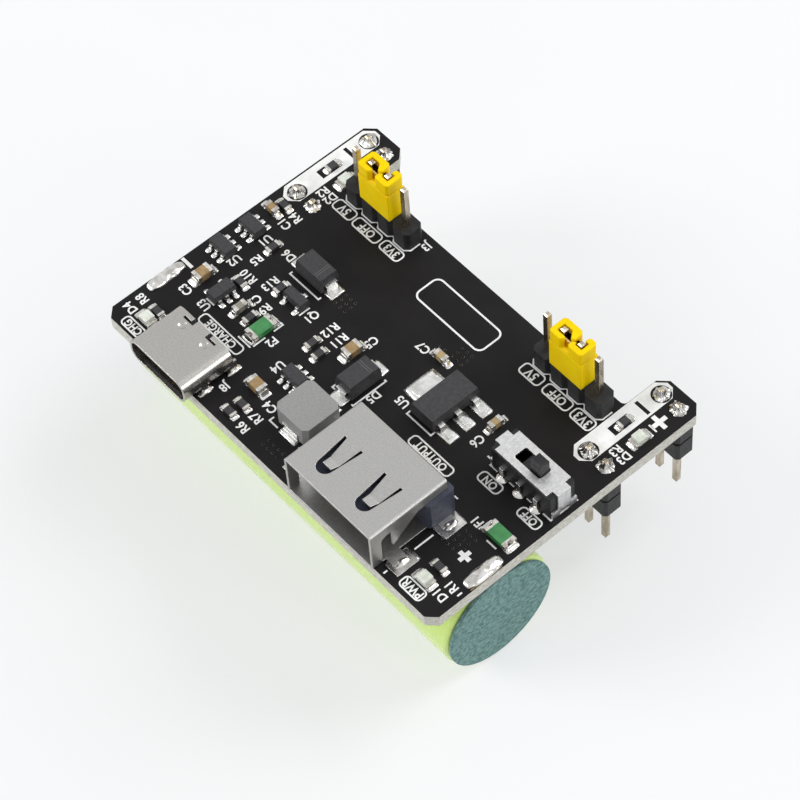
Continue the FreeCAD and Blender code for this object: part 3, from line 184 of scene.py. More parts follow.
BLACK = (0.007, 0.007, 0.008)
DARK = (0.015, 0.015, 0.017)
MATERIALS = {
    "board": lacquered_board(),
    "ink": finish("ink", (0.93, 0.935, 0.92), (0.80, 0.805, 0.79), (0.5, 0.7), grain=7000, rounding=0),
    "solder": finish("solder", (0.80, 0.79, 0.77), (0.50, 0.48, 0.45), (0.12, 0.3), 1.0, 900, 1500, bump=0.25, depth=0.03),
    "creased_solder": finish("creased_solder", (0.78, 0.77, 0.75), (0.24, 0.23, 0.21), (0.12, 0.3), 1.0, 1300, 1500, bump=0.25, depth=0.03),
    "pad": finish("pad", (0.84, 0.84, 0.83), (0.60, 0.59, 0.57), (0.16, 0.36), 1.0, 1000, 1700, bump=0.25, depth=0.03),
    # Header pins: the pale tone is the tin's own colour; the dark brown streaks along the pins are painted reflection
    # of the yellow caps and painted shade inside the header collars
    "pin": finish("pin", (0.64, 0.58, 0.48), (0.28, 0.23, 0.15), (0.16, 0.34), 1.0, 1100, 5000, (1, 1, 0.25), bump=0.2),
    "gold": finish("gold", (0.83, 0.62, 0.26), (0.62, 0.43, 0.17), (0.2, 0.35), 1.0),
    "steel": finish("steel", (0.385, 0.38, 0.37), (0.50, 0.495, 0.48), (0.3, 0.5), 1.0, 9000, 11000, bump=0.6, depth=0.012, rounding=0.1),
    "smooth_steel": finish("smooth_steel", (0.44, 0.425, 0.40), (0.51, 0.49, 0.465), (0.2, 0.32), 1.0, 5000, 14000, bump=0.3, depth=0.006, rounding=0.08),
    "brushed_steel": finish("brushed_steel", (0.56, 0.56, 0.56), (0.70, 0.70, 0.70), (0.32, 0.52), 1.0, 5200, 6200, (1, 0.45, 0.5), bump=0.5, depth=0.012),
    "black_plastic": finish("black_plastic", BLACK, DARK, (0.38, 0.62), patch=1500, bump=0.5, depth=0.015, specular=0.35),
    "chip_plastic": finish("chip_plastic", (0.021, 0.021, 0.023), (0.036, 0.036, 0.039), (0.48, 0.68), patch=3000, bump=0.45, depth=0.012),
    "yellow_plastic": finish("yellow_plastic", (1.0, 0.70, 0.0), (0.98, 0.65, 0.0), (0.38, 0.52), patch=700, bump=0.2, rounding=0.2, specular=0.14, soften=0.2),
    "blue_grey_plastic": finish("blue_grey_plastic", (0.030, 0.034, 0.055), (0.055, 0.06, 0.09), (0.4, 0.6), patch=1500, specular=0.4),
    "sleeve": finish("sleeve", (0.64, 0.88, 0.20), (0.70, 0.91, 0.27), (0.2, 0.3), patch=90, grain=700, bump=0.05, depth=0.02, coat=0.35, soften=0.3),
    "fibre": finish("fibre", (0.070, 0.165, 0.155), (0.205, 0.345, 0.325), (0.75, 0.95), patch=3400, grain=4200, stretch=(1, 0.6, 1), turn=0.5, bump=1.0, depth=0.12),
    "foam": finish("foam", (0.62, 0.62, 0.58), (0.74, 0.74, 0.70), (0.8, 0.95), patch=2500, grain=2500, bump=0.8, depth=0.05),
    "nickel": finish("nickel", (0.60, 0.58, 0.54), (0.45, 0.43, 0.40), (0.25, 0.4), 1.0, 800),
    "ferrite": finish("ferrite", (0.27, 0.27, 0.265), (0.33, 0.33, 0.325), (0.42, 0.6), 0.35, 9000, 9000, (0.3, 1, 1), bump=0.5, depth=0.012, rounding=0.12),
    "fuse": finish("fuse", (0.030, 0.20, 0.050), (0.045, 0.27, 0.075), (0.25, 0.4), patch=1200, coat=0.4),
    "tan_ceramic": finish("tan_ceramic", (0.27, 0.175, 0.08), (0.39, 0.26, 0.12), (0.35, 0.55), patch=1800),
    "end_metal": finish("end_metal", (0.78, 0.76, 0.72), (0.45, 0.43, 0.39), (0.22, 0.45), 0.9, 1800, 4200, bump=0.5, depth=0.03),
    "faint_mark": finish("faint_mark", (0.12, 0.12, 0.12), (0.07, 0.07, 0.07), (0.5, 0.7), patch=3000, rounding=0),
    "flux": finish("flux", (0.30, 0.20, 0.06), (0.16, 0.10, 0.03), (0.15, 0.3), patch=1200, coat=0.5),
    "lens": finish("lens", (0.80, 0.82, 0.76), (0.60, 0.64, 0.55), (0.12, 0.3), patch=1500, coat=0.5, soften=0.3),
}
for place, colour in (((7.78, -14.41), (0.26, 0.25, 0.20)), ((36.98, -4.75), (0.42, 0.32, 0.16)), ((26.98, -3.28), (0.42, 0.32, 0.16))):
    tint_near(MATERIALS["tan_ceramic"], place, 1.6, colour)
CAD_FINISH = {
    "circuit_board": "board", "rail_spacers_upper": "black_plastic", "rail_spacers_lower": "black_plastic",
    "rail_pins": "pin", "rail_pin_solder": "solder", "jumper_header_bases": "black_plastic",
    "jumper_header_pins": "pin", "under_board_solder": "solder", "left_jumper_cap": "yellow_plastic",
    "right_jumper_cap": "yellow_plastic", "left_jumper_clip": "gold", "right_jumper_clip": "gold",
    "battery_can": "nickel", "battery_sleeve": "sleeve", "battery_strips": "nickel",
    "battery_strip_solder": "solder", "battery_end_discs": "fibre", "battery_tape": "foam",
    "usb_c_shell": "smooth_steel", "usb_c_tongue": "black_plastic", "usb_c_contacts": "gold",
    "usb_c_solder": "solder", "usb_a_shell": "steel", "usb_a_insulator": "blue_grey_plastic",
    "usb_a_contacts": "gold", "usb_a_solder": "solder", "switch_base": "black_plastic",
    "switch_cover": "brushed_steel", "switch_slider": "black_plastic", "switch_terminals": "pad",
    "inductor_core": "ferrite", "inductor_terminals": "pad", "regulator_body": "chip_plastic",
    "regulator_leads": "pad", "diode_bodies": "chip_plastic", "diode_leads": "pad",
    "six_lead_chips": "chip_plastic", "five_lead_chip": "chip_plastic", "transistor_body": "chip_plastic",
    "chip_leads": "pad", "fuse_bodies": "fuse", "fuse_ends": "end_metal", "capacitor_bodies": "tan_ceramic",
    "capacitor_ends": "end_metal", "resistor_bodies": "chip_plastic", "resistor_ends": "end_metal",
    "light_bodies": "lens", "light_ends": "end_metal",
}
for name, finish_name in CAD_FINISH.items():
    mesh = nodes[name].data
    mesh.materials.clear()
    mesh.materials.append(MATERIALS[finish_name])


# Pieces
def piece(name, bm, finish_name, body="board", smooth=False):
    """A mesh from bmesh, with its finish, that rides on a body."""
    mesh = bpy.data.meshes.new(name)
    bmesh.ops.recalc_face_normals(bm, faces=bm.faces)
    bm.to_mesh(mesh)
    bm.free()
    for face in mesh.polygons:
        face.use_smooth = smooth
    mesh.materials.append(MATERIALS[finish_name])
    obj = bpy.data.objects.new(name, mesh)
    bpy.context.scene.collection.objects.link(obj)
    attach(obj, body)
    return obj


def islands(node):
    """The separate solids of a CAD node, each as its lowest and highest corner in the board's frame, in mm."""
    mesh = nodes[node].data
    owner = {}

    def root(key):
        while owner[key] != key:
            owner[key] = owner[owner[key]]
            key = owner[key]
        return key

    keys = [tuple(round(c / MM, 3) for c in v.co) for v in mesh.vertices]
    for key in keys:
        owner.setdefault(key, key)
    for face in mesh.polygons:
        first = root(keys[face.vertices[0]])
        for index in face.vertices[1:]:
            owner[root(keys[index])] = first
    groups = {}
    for key in owner:
        groups.setdefault(root(key), []).append(key)
    found = []
    for points in groups.values():
        low = Vector([min(p[i] for p in points) for i in range(3)]) - BOARD_ORIGIN
        high = Vector([max(p[i] for p in points) for i in range(3)]) - BOARD_ORIGIN
        found.append((low, high))
    return sorted(found, key=lambda box: tuple(box[0]))


# Flat ink
INK_LOW = 0.003
INK_HIGH = 0.02
INK_LINE = 0.19


def offset_loop(points, distance, closed=True):
    """A line moved sideways by a distance, with mitred corners."""
    moved = []
    count = len(points)
    for i, point in enumerate(points):
        here = Vector(point)
        before = Vector(points[(i - 1) % count]) if closed or i else None
        after = Vector(points[(i + 1) % count]) if closed or i < count - 1 else None
        sides = []
        for first, second in ((before, here), (here, after)):
            if first is not None and second is not None:
                run = (second - first).normalized()
                sides.append(Vector((-run.y, run.x)))
        normal = sum(sides, Vector((0, 0))).normalized()
        moved.append(here + normal * distance / max(normal.dot(sides[0]), 0.4))
    return moved


def fill(bm, loops, low=INK_LOW, high=INK_HIGH):
    """Adds a thin plate that is filled between the loops; inner loops are holes."""
    curve = bpy.data.curves.new("loops", "CURVE")
    curve.dimensions = "2D"
    curve.fill_mode = "BOTH"
    curve.extrude = (high - low) / 2 * MM
    for loop in loops:
        spline = curve.splines.new("POLY")
        spline.points.add(len(loop) - 1)
        for target, point in zip(spline.points, loop):
            place = at(point[0], point[1])
            target.co = (place.x, place.y, 0, 1)
        spline.use_cyclic_u = True
    obj = bpy.data.objects.new("loops", curve)
    obj.location.z = at(0, 0, (low + high) / 2).z
    add_evaluated(bm, obj)


def add_evaluated(bm, obj):
    """Adds an object's evaluated mesh to a bmesh, and removes the object."""
    bpy.context.scene.collection.objects.link(obj)
    bpy.context.view_layer.update()
    mesh = bpy.data.meshes.new_from_object(obj.evaluated_get(bpy.context.evaluated_depsgraph_get()))
    mesh.transform(obj.matrix_world)
    bm.from_mesh(mesh)
    bpy.data.meshes.remove(mesh)
    bpy.data.objects.remove(obj)


def line(bm, points, width=INK_LINE, closed=False):
    """Adds an inked line."""
    points = [Vector(p) for p in points]
    if closed:
        fill(bm, [offset_loop(points, width / 2), offset_loop(points, -width / 2)])
    else:
        left = offset_loop(points, width / 2, False)
        right = offset_loop(points, -width / 2, False)
        fill(bm, [left + right[::-1]])


def rounded(low_x, low_y, high_x, high_y, radius, steps=5):
    """The outline of a rounded rectangle."""
    outline = []
    for cx, cy, start in ((high_x - radius, high_y - radius, 0), (low_x + radius, high_y - radius, 90),
                          (low_x + radius, low_y + radius, 180), (high_x - radius, low_y + radius, 270)):
        for i in range(steps + 1):
            angle = math.radians(start + 90 * i / steps)
            outline.append((cx + radius * math.cos(angle), cy + radius * math.sin(angle)))
    return outline


def circle(x, y, radius, steps=32):
    """The outline of a circle."""
    return [(x + radius * math.cos(2 * math.pi * i / steps), y + radius * math.sin(2 * math.pi * i / steps))
            for i in range(steps)]


def word(bm, text, x, y, angle, height=1.0, narrow=0.88):
    """Adds an inked word, centred on a point; height is a capital's."""
    curve = bpy.data.curves.new("word", "FONT")
    curve.body = text
    curve.align_x = "CENTER"
    curve.align_y = "CENTER"
    curve.size = height / 0.70 * MM
    curve.offset = 0.035 * MM
    curve.extrude = (INK_HIGH - INK_LOW) / 2 * MM
    curve.resolution_u = 3
    curve.space_character = 1.06
    obj = bpy.data.objects.new("word", curve)
    obj.location = at(x, y, (INK_LOW + INK_HIGH) / 2)
    obj.rotation_euler.z = math.radians(angle)
    obj.scale.x = narrow
    add_evaluated(bm, obj)


# Words read towards the left edge, and the ones on their side read towards the front edge
ALONG = 180
ASIDE = -90
MARKS = [
    ("R4", 2.56, -2.36, ALONG), ("C1", 2.36, -3.77, ALONG), ("U1", 2.58, -6.7, ASIDE), ("U2", 2.35, -10.8, ASIDE),
    ("R5", 3.95, -9.05, ASIDE), ("D6", 5.9, -6.15, ALONG), ("R10", 5.08, -11.05, ALONG), ("R13", 7.35, -10.0, ASIDE),
    ("C2", 7.9, -12.6, ASIDE), ("R9", 9.5, -12.5, ASIDE), ("Q1", 13.65, -9.6, ASIDE), ("C3", 1.8, -16.95, ALONG),
    ("D4", -0.35, -22.7, ALONG), ("R8", -0.4, -21.05, ALONG), ("U3", 4.7, -16.8, ALONG), ("F2", 13.25, -14.7, ASIDE),
    ("J8", 14.25, -21.95, ASIDE), ("R7", 19.55, -22.0, ALONG), ("R6", 19.5, -23.75, ALONG), ("C4", 19.5, -20.1, ALONG),
    ("U4", 16.1, -16.3, ASIDE), ("R12", 16.3, -9.3, ASIDE), ("R11", 17.95, -9.5, ASIDE), ("C5", 20.4, -7.2, ASIDE),
    ("D5", 25.75, -11.55, ASIDE), ("C7", 24.7, -3.7, ALONG), ("U5", 28.3, -9.75, ALONG), ("J3", 15.0, 5.2, ASIDE),
    ("C6", 37.1, -7.4, ASIDE), ("F1", 44.3, -13.85, ALONG), ("D1", 48.2, -22.25, ALONG), ("R1", 48.25, -20.8, ALONG),
    ("D3", 48.75, 2.0, ASIDE), ("R3", 47.55, 2.0, ASIDE), ("D2", 3.05, 2.0, ASIDE), ("R2", 1.85, 2.0, ASIDE),
]
BOXED = [
    ("ON", 40.3, -10.45, 43.25, -9.2), ("OFF", 46.15, -10.4, 49.05, -9.2), ("PWR", 44.3, -24.4, 47.3, -23.05),
    ("OUTPUT", 32.25, -12.65, 38.3, -11.4), ("CHARGE", 5.65, -18.55, 12.05, -17.3), ("CHG", 0.3, -24.65, 3.4, -23.45),
    ("5V", 3.85, 1.45, 6.8, 2.85), ("OFF", 7.15, 1.4, 11.0, 2.75), ("3V3", 11.45, 1.5, 14.4, 2.85),
    ("5V", 33.4, 1.5, 36.3, 2.95), ("OFF", 36.9, 1.5, 40.6, 2.9), ("3V3", 41.1, 1.5, 43.95, 2.95),
]
LINES = [
    [(7.81, -7.25), (7.81, -7.62), (12.46, -7.62), (12.46, -7.25)],
    [(12.66, -10.45), (12.66, -9.0)],
    [(29.7, -9.9), (29.7, -10.4), (33.4, -10.4), (33.4, -9.4)],
    [(24.96, -13.8), (25.2, -13.8), (25.2, -9.3), (24.95, -9.3)],
    [(22.4, -13.8), (21.95, -13.8), (21.95, -13.3)],
    [(20.7, -20.6), (20.7, -21.2), (22.0, -21.2)],
    [(25.3, -21.2), (26.5, -21.2), (26.5, -20.6)],
    [(12.4, -16.5), (12.4, -14.85)],
    [(11.2, -12.45), (12.4, -12.45), (12.4, -13.7)],
    [(10.3, -16.8), (12.3, -16.8)],
    [(4.2, -16.1), (5.5, -16.1)],
    [(1.7, -11.4), (1.7, -10.1)],
    [(1.7, -7.3), (1.7, -5.9)],
    [(42.5, -20.6), (42.5, -18.1)],
    [(39.2, -7.85), (39.9, -7.85)],
    [(40.2, -7.9), (40.2, -8.38), (41.3, -8.38)],
    [(43.05, -8.38), (43.8, -8.38)],
    [(45.65, -8.38), (46.4, -8.38)],
    [(48.1, -8.43), (49.25, -8.43), (49.25, -4.85), (48.4, -4.85)],
    [(46.6, -14.65), (48.0, -14.65)],
    [(45.1, -14.35), (45.1, -13.9)],
    [(40.5, -13.5), (41.0, -13.5)],
    [(42.5, -24.7), (42.5, -24.2)],
    [(49.45, -21.1), (49.45, -20.5)],
    [(47.6, 6.62), (48.75, 6.62)],
    [(1.9, 6.62), (3.0, 6.62)],
]
STRIP = (-1.55, -1.5, 1.15, 11.6)
STRIP_CORNER = 0.95
PAD_CLEAR = 1.12
WINDOW = (-0.72, 3.25, 0.55, 5.95)
MINUS = (-1.1, 7.38, 0.9, 7.82)
PLUS_ARM = 0.98
PLUS_WIDTH = 0.52


def plus(x, y, arm, width):
    """The outline of a plus sign."""
    a, w = arm, width / 2
    corners = [(-w, -a), (w, -a), (w, -w), (a, -w), (a, w), (w, w), (w, a), (-w, a), (-w, w), (-a, w), (-a, -w), (-w, -w)]
    return [(x + px, y + py) for px, py in corners]


def chamfered(low_x, low_y, high_x, high_y, cut):
    """The outline of a rectangle with cut corners."""
    return [(low_x + cut, low_y), (high_x - cut, low_y), (high_x, low_y + cut), (high_x, high_y - cut),
            (high_x - cut, high_y), (low_x + cut, high_y), (low_x, high_y - cut), (low_x, low_y + cut)]


def rectangle(low_x, low_y, high_x, high_y):
    """The outline of a rectangle."""
    return [(low_x, low_y), (high_x, low_y), (high_x, high_y), (low_x, high_y)]


ink = bmesh.new()
for text, x, y, angle in MARKS:
    word(ink, text, x, y, angle)
for text, low_x, low_y, high_x, high_y in BOXED:
    line(ink, rounded(low_x, low_y, high_x, high_y, 0.45), 0.18, True)
    word(ink, text, (low_x + high_x) / 2, (low_y + high_y) / 2, ALONG, (high_y - low_y) * 0.72, 0.84)
line(ink, rounded(18.9, 0.05, 29.1, 3.5, 0.8), 0.21, True)
for points in LINES:
    line(ink, points)
for rail_x in RAIL_X:
    low_x, low_y, high_x, high_y = STRIP
    loops = [chamfered(rail_x + low_x, low_y, rail_x + high_x, high_y, STRIP_CORNER)]
    loops += [circle(rail_x, y, PAD_CLEAR) for y in RAIL_Y]
    for low_x, low_y, high_x, high_y in (WINDOW, MINUS):
        loops.append(rectangle(rail_x + low_x, low_y, rail_x + high_x, high_y))
    fill(ink, loops)
    fill(ink, [plus(rail_x + 2.35, 7.62, PLUS_ARM, PLUS_WIDTH)])
fill(ink, [plus(46.5, -17.5, 0.75, 0.5)])
fill(ink, [rectangle(-1.65, -14.85, 0.05, -14.45)])
for start in JUMPER_X:
    notched = [(start - 1.3, 4.9), (start - 1.3, 3.6), (start - 0.8, 3.1)]
    for i in range(3):
        edge = start + (i + 0.5) * PITCH
        notched += [(edge - 0.5, 3.1), (edge - 0.12, 3.55), (edge + 0.12, 3.55), (edge + 0.5, 3.1)]
    end = start + 3 * PITCH
    notched += [(end + 0.85, 3.1), (end + 1.4, 3.65), (end + 1.4, 5.0)]
    line(ink, notched, 0.17)
piece("silkscreen", ink, "ink")


# Solder and pads
def mound(bm, low, high, height, lump=0.05, corner=0.5, steps=9, base=0.004, seed=0.0):
    """Adds a closed low mound over a rectangle; height(u, v) gives its shape, with u and v from -1 to 1."""
    rows = []
    for j in range(steps + 1):
        row = []
        for i in range(steps + 1):
            u = 2 * i / steps - 1
            v = 2 * j / steps - 1
            squeeze_u = 1 - corner * 0.29 * v * v * v * v * abs(u) ** 3
            squeeze_v = 1 - corner * 0.29 * u * u * u * u * abs(v) ** 3
            x = (low[0] + high[0]) / 2 + u * squeeze_u * (high[0] - low[0]) / 2
            y = (low[1] + high[1]) / 2 + v * squeeze_v * (high[1] - low[1]) / 2
            rim = max(abs(u), abs(v)) > 0.99
            wave = noise.noise(Vector((x * 1.7, y * 1.7, seed + 3.1))) * lump
            z = 0.02 if rim else max(0.02, height(u, v) + wave * min(1.0, height(u, v) * 6))
            row.append(bm.verts.new(at(x, y, base + z)))
        rows.append(row)
    for j in range(steps):
        for i in range(steps):
            bm.faces.new((rows[j][i], rows[j][i + 1], rows[j + 1][i + 1], rows[j + 1][i]))
    rim = [rows[0][i] for i in range(steps + 1)] + [rows[j][steps] for j in range(1, steps + 1)]
    rim += [rows[steps][i] for i in range(steps - 1, -1, -1)] + [rows[j][0] for j in range(steps - 1, 0, -1)]
    foot = [bm.verts.new(Vector((v.co.x, v.co.y, at(0, 0, base).z))) for v in rim]
    for i in range(len(rim)):
        k = (i + 1) % len(rim)
        bm.faces.new((rim[i], foot[i], foot[k], rim[k]))
    bm.faces.new(foot)


def flat(u, v):
    """A pad with a soft edge."""
    return 0.05 * (1 - max(abs(u), abs(v)) ** 4)


def dome(level):
    """A smooth dome of a given height."""
    return lambda u, v: level * math.sqrt(max(0.0, 1 - u * u)) * math.sqrt(max(0.0, 1 - v * v))


def outward(boxes, index, reach):
    """The axis and direction in which an end cap faces, found from its partner on the same part."""
    low, high = boxes[index]
    centre = (low + high) / 2
    partners = [(b[0] + b[1]) / 2 for k, b in enumerate(boxes) if k != index]
    close = [p for p in partners if (p - centre).length < reach and
             min(abs(p.x - centre.x), abs(p.y - centre.y)) < 0.02]
    other = min(close, key=lambda p: (p - centre).length)
    axis = 0 if abs(other.x - centre.x) > abs(other.y - centre.y) else 1
    return axis, 1 if centre[axis] > other[axis] else -1


pads = bmesh.new()
fillets = bmesh.new()
for node, reach, beyond, rise in (("resistor_ends", 1.45, 0.42, 0.7), ("capacitor_ends", 1.75, 0.72, 0.75),
                                  ("fuse_ends", 2.9, 0.55, 0.8), ("light_ends", 1.8, 0.45, 0.9)):
    boxes = islands(node)
    for index, (low, high) in enumerate(boxes):
        axis, way = outward(boxes, index, reach)
        outer = high[axis] if way > 0 else low[axis]
        start = [low[0] - 0.06, low[1] - 0.06]
        stop = [high[0] + 0.06, high[1] + 0.06]
        start[axis], stop[axis] = sorted((outer - way * 0.3, outer + way * beyond))
        mound(pads, start, stop, flat, seed=index)
        level = (high.z - low.z) * rise
        start[axis], stop[axis] = sorted((outer, outer + way * beyond * 0.85))

        def slope(u, v, way=way, axis=axis, level=level):
            along, across = (u, v) if axis == 0 else (v, u)
            t = (1 - way * along) / 2
            return level * t ** 1.8 * (1 - 0.5 * across ** 4)

        mound(fillets, start, stop, slope, seed=index * 2.3)
for index, (low, high) in enumerate(islands("chip_leads")):
    long_axis = 0 if high.x - low.x > high.y - low.y else 1
    start = [low[0] - 0.12, low[1] - 0.12]
    stop = [high[0] + 0.12, high[1] + 0.12]
    start[long_axis] -= 0.12
    stop[long_axis] += 0.12
    mound(pads, start, stop, dome(0.16), lump=0.1, seed=index * 1.3, steps=7)
REGULATOR_PADS = [(33.15, y - 0.78, 35.6, y + 0.78) for y in (-9.05, -6.75, -4.45)] + [(27.25, -8.85, 29.7, -4.65)]
PLAIN_PADS = REGULATOR_PADS + [
    (12.2, -6.75, 13.55, -4.75), (6.75, -6.75, 8.1, -4.75), (22.5, -9.55, 24.5, -8.15), (22.5, -14.85, 24.5, -13.45),
    (22.35, -21.45, 24.9, -20.4), (22.35, -16.05, 24.9, -14.9),
    (41.55, -23.85, 43.75, -20.8), (41.55, -17.65, 43.75, -14.6), (26.2, -23.85, 28.4, -20.8), (26.2, -17.65, 28.4, -14.6)]
for index, (low_x, low_y, high_x, high_y) in enumerate(PLAIN_PADS):
    mound(pads, (low_x, low_y), (high_x, high_y), flat, lump=0.06, corner=0.15, seed=index * 5.1)
for x, side in ((41.52, 1), (28.42, -1)):
    for y in (-22.6, -16.2):
        start, stop = sorted((x + side * 0.9, x + side * 1.9))
        mound(fillets, (start, y - 1.1), (stop, y + 1.1), dome(0.42), lump=0.3, seed=y + x)
piece("tinned_pads", pads, "pad", smooth=True)
piece("solder_fillets", fillets, "solder", smooth=True)

# Long mounds over the cell's strips, and oval joints on the charging socket's legs
long_mounds = bmesh.new()
for index, (low, high) in enumerate(islands("battery_strips")):
    x = (low.x + high.x) / 2
    y = (low.y + high.y) / 2
    outside = -0.72 if index == 0 else 0.72
    inside = 0.85 if index == 0 else -0.95
    start, stop = sorted((x + inside, x + outside))
    mound(long_mounds, (start, y - 2.45), (stop, y + 2.45), dome(0.6), lump=0.09, corner=1.0, steps=26, seed=index * 7.7)
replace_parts(piece("strip_solder_mounds", long_mounds, "solder", smooth=True), "battery_strip_solder")
leg_joints = bmesh.new()
for index, (low, high) in enumerate(islands("usb_c_solder")):
    outer = -1 if high.x < 9 else 1
    x = (low.x + high.x) / 2
    y = (low.y + high.y) / 2
    start, stop = sorted((x - outer * 0.28, x + outer * 0.5))
    mound(leg_joints, (start, y - 0.98), (stop, y + 0.98), dome(0.3), lump=0.2, corner=1.0, steps=12, seed=index * 3.3)
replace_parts(piece("leg_solder_joints", leg_joints, "solder", smooth=True), "usb_c_solder")


def lathe_lumpy(bm, x, y, profile, seed, lump=0.06, steps=28, crease=1.1):
    """Adds a closed turned shape with uneven radius; profile holds radius and height."""
    rings = []
    for radius, z in profile:
        ring = []
        for i in range(steps):
            angle = 2 * math.pi * i / steps
            wave = noise.noise(Vector((math.cos(angle) * crease, math.sin(angle) * crease, z * 0.8 + seed))) * lump
            grown = radius * (1 + wave)
            ring.append(bm.verts.new(at(x + grown * math.cos(angle), y + grown * math.sin(angle), z + wave * 0.5 * (z > 0.05))))
        rings.append(ring)
    for lower, upper in zip(rings, rings[1:]):
        for i in range(steps):
            k = (i + 1) % steps
            bm.faces.new((lower[i], lower[k], upper[k], upper[i]))
    bm.faces.new(rings[0][::-1])
    bm.faces.new(rings[-1])


domes = bmesh.new()
DOME_PROFILE = [(0.98, 0.004), (0.98, 0.03), (0.93, 0.09), (0.78, 0.17), (0.6, 0.3), (0.46, 0.5), (0.38, 0.68), (0.3, 0.8), (0.12, 0.86)]
for column, x in enumerate((RAIL_X[0], RAIL_X[0] + PITCH, RAIL_X[1], RAIL_X[1] + PITCH)):
    for row, y in enumerate(RAIL_Y):
        lathe_lumpy(domes, x, y, DOME_PROFILE, column * 3.7 + row * 11.3, 0.34, 48, 2.1)
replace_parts(piece("rail_solder_domes", domes, "creased_solder", smooth=True), "rail_pin_solder")

# Bright rings round the switch's terminals
rings = bmesh.new()
RING_PROFILE = [(0.72, 0.004), (0.72, 0.03), (0.62, 0.07), (0.48, 0.12), (0.36, 0.24), (0.30, 0.26)]
for index, (low, high) in enumerate(islands("switch_terminals")):
    lathe_lumpy(rings, (low.x + high.x) / 2, (low.y + high.y) / 2, RING_PROFILE, index * 4.1, 0.12, 32)
piece("terminal_rings", rings, "solder", smooth=True)

# Small plated holes under lacquer, in clusters
vias = bmesh.new()
CLUSTERS = [(14.75, -5.85, 3, 3), (28.2, -1.5, 3, 3), (23.6, -23.2, 4, 2), (44.6, -16.6, 4, 4), (25.9, -2.6, 2, 2)]
for cx, cy, columns, rows in CLUSTERS:
    for i in range(columns):
        for j in range(rows):
            x = cx + (i - (columns - 1) / 2) * 0.75 + 0.12 * (j % 2)
            y = cy + (j - (rows - 1) / 2) * 0.75
            lathe_lumpy(vias, x, y, [(0.15, 0.002), (0.13, 0.010), (0.09, 0.012), (0.06, 0.004)], i + j, 0.05, 12)
piece("covered_vias", vias, "board", smooth=True)

# Polarity lines on the diodes, and brown flux beside the cell's right strip
polarity = bmesh.new()
for low, high in islands("diode_bodies"):
    size = high - low
    if size.x > size.y:
        for x in (low.x + size.x * 0.70, low.x + size.x * 0.765):
            fill(polarity, [rectangle(x - 0.04, low.y + 0.28, x + 0.04, high.y - 0.28)], high.z + 0.001, high.z + 0.012)
    else:
        for y in (low.y + size.y * 0.70, low.y + size.y * 0.765):
            fill(polarity, [rectangle(low.x + 0.28, y - 0.04, high.x - 0.28, y + 0.04)], high.z + 0.001, high.z + 0.012)
piece("diode_polarity_lines", polarity, "faint_mark")
flux = bmesh.new()
mound(flux, (49.7, -19.7), (50.0, -15.5), dome(0.05), lump=0.03, corner=1.0, steps=14)
piece("flux_rim", flux, "flux", smooth=True)

# Camera at the photograph's view
TARGET = Vector((-0.686, 0.769, 8.051)) * MM
AZIMUTH = math.radians(53.069)
ELEVATION = math.radians(55.344)
ROLL = math.radians(-5.17)
DISTANCE = 345.567 * MM
back = Vector((math.sin(AZIMUTH) * math.cos(ELEVATION), -math.cos(AZIMUTH) * math.cos(ELEVATION), math.sin(ELEVATION)))
level = Vector((math.cos(AZIMUTH), math.sin(AZIMUTH), 0))
rise = back.cross(level)
right = math.cos(ROLL) * level + math.sin(ROLL) * rise
up = -math.sin(ROLL) * level + math.cos(ROLL) * rise
camera_data = bpy.data.cameras.new("camera")
camera_data.lens = 147.358
camera_data.sensor_width = 36.0
camera_data.sensor_fit = "HORIZONTAL"
camera_data.clip_start = 0.01
camera = bpy.data.objects.new("camera", camera_data)
turn = Matrix((right, up, back)).transposed().to_4x4()
camera.matrix_world = Matrix.Translation(TARGET + back * DISTANCE) @ turn
bpy.context.scene.collection.objects.link(camera)
bpy.context.scene.camera = camera


# Floor, light and world
def pale_floor():
    """White to the camera, to gloss and to glass, with part of the real shading so that the shadow stays."""
    mat, tn, tl, shader = node_tree("floor")
    shader.inputs["Roughness"].default_value = 0.9
    shader.inputs["Specular IOR Level"].default_value = 0.1
    mottled = noise_at(tn, tl, 30.0, (1, 1, 1), 2.0)
    tl.new(blend_colours(tn, tl, spread(tn, tl, mottled, 0, 1), (0.86, 0.865, 0.87), (0.88, 0.88, 0.885)), shader.inputs["Base Color"])
    path = add(tn, "ShaderNodeLightPath")
    seen = add(tn, "ShaderNodeMath", operation="MAXIMUM")
    tl.new(path.outputs["Is Camera Ray"], seen.inputs[0])
    tl.new(path.outputs["Is Glossy Ray"], seen.inputs[1])
    seen_too = add(tn, "ShaderNodeMath", operation="MAXIMUM")
    tl.new(seen.outputs[0], seen_too.inputs[0])
    tl.new(path.outputs["Is Transmission Ray"], seen_too.inputs[1])
    share = add(tn, "ShaderNodeMath", operation="MULTIPLY")
    share.inputs[1].default_value = 0.55
    tl.new(seen_too.outputs[0], share.inputs[0])
    glow = add(tn, "ShaderNodeEmission")
    glow.inputs["Color"].default_value = (0.965, 0.975, 0.985, 1)
    mix = add(tn, "ShaderNodeMixShader")
    tl.new(share.outputs[0], mix.inputs[0])
    tl.new(shader.outputs[0], mix.inputs[1])
    tl.new(glow.outputs[0], mix.inputs[2])
    tl.new(mix.outputs[0], tn["Material Output"].inputs["Surface"])
    return mat


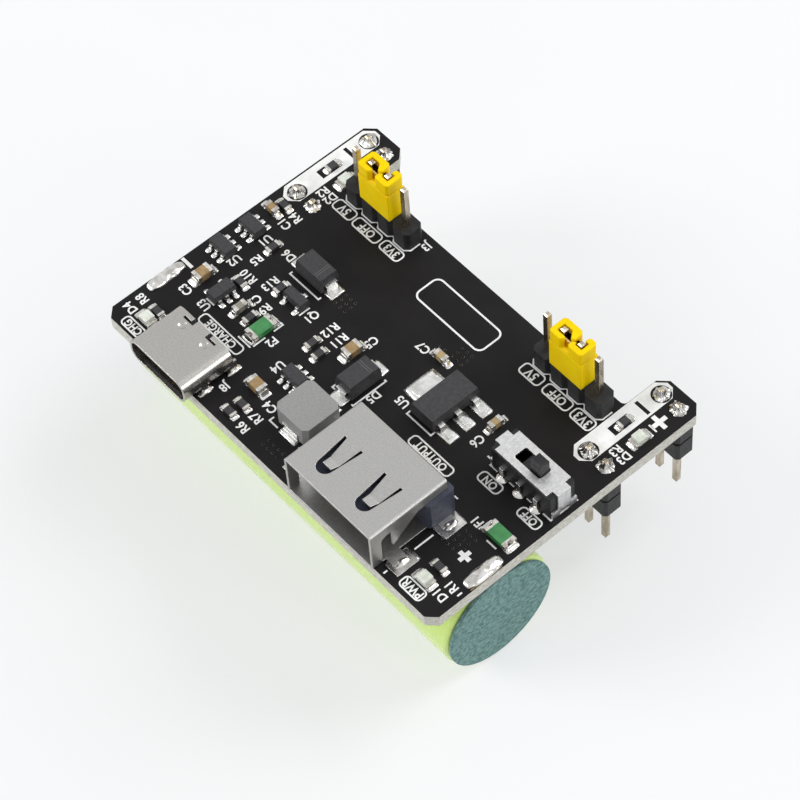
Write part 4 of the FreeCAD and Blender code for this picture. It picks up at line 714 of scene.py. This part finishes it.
floor_mesh = bmesh.new()
bmesh.ops.create_circle(floor_mesh, cap_ends=True, segments=64, radius=1.5)
floor_data = bpy.data.meshes.new("floor")
floor_mesh.to_mesh(floor_data)
floor_mesh.free()
floor_data.materials.append(pale_floor())
floor = bpy.data.objects.new("floor", floor_data)
floor.location.z = -0.02 * MM
bpy.context.scene.collection.objects.link(floor)


def softbox(name, place, size, power, colour=(1, 1, 1)):
    """A square area lamp aimed at the object."""
    data = bpy.data.lights.new(name, "AREA")
    data.shape = "RECTANGLE"
    data.size, data.size_y = size
    data.energy = power
    data.color = colour
    lamp = bpy.data.objects.new(name, data)
    lamp.location = place
    aim = TARGET - Vector(place)
    lamp.rotation_euler = aim.to_track_quat("-Z", "Y").to_euler()
    bpy.context.scene.collection.objects.link(lamp)
    return lamp


softbox("key", (0.16, 0.55, 0.5), (0.45, 0.45), 3.2)
softbox("left", (-0.40, -0.52, 0.36), (0.35, 0.35), 2.6)
softbox("right", (0.62, 0.16, 0.30), (0.12, 0.4), 0.7)

world = bpy.data.worlds.new("world")
bpy.context.scene.world = world
world.use_nodes = True
wn, wl = world.node_tree.nodes, world.node_tree.links
background = wn["Background"]
background.inputs["Strength"].default_value = 1.0
wpath = add(wn, "ShaderNodeLightPath")
wseen = add(wn, "ShaderNodeMath", operation="MAXIMUM")
wl.new(wpath.outputs["Is Camera Ray"], wseen.inputs[0])
wl.new(wpath.outputs["Is Glossy Ray"], wseen.inputs[1])
wseen_too = add(wn, "ShaderNodeMath", operation="MAXIMUM")
wl.new(wseen.outputs[0], wseen_too.inputs[0])
wl.new(wpath.outputs["Is Transmission Ray"], wseen_too.inputs[1])
wall = add(wn, "ShaderNodeMix", data_type="RGBA")
wl.new(wseen_too.outputs[0], wall.inputs[0])
wall.inputs[6].default_value = (0.50, 0.505, 0.51, 1)
wall.inputs[7].default_value = (0.90, 0.905, 0.91, 1)
wl.new(wall.outputs[2], background.inputs["Color"])
bpy.context.scene.view_settings.view_transform = "Standard"
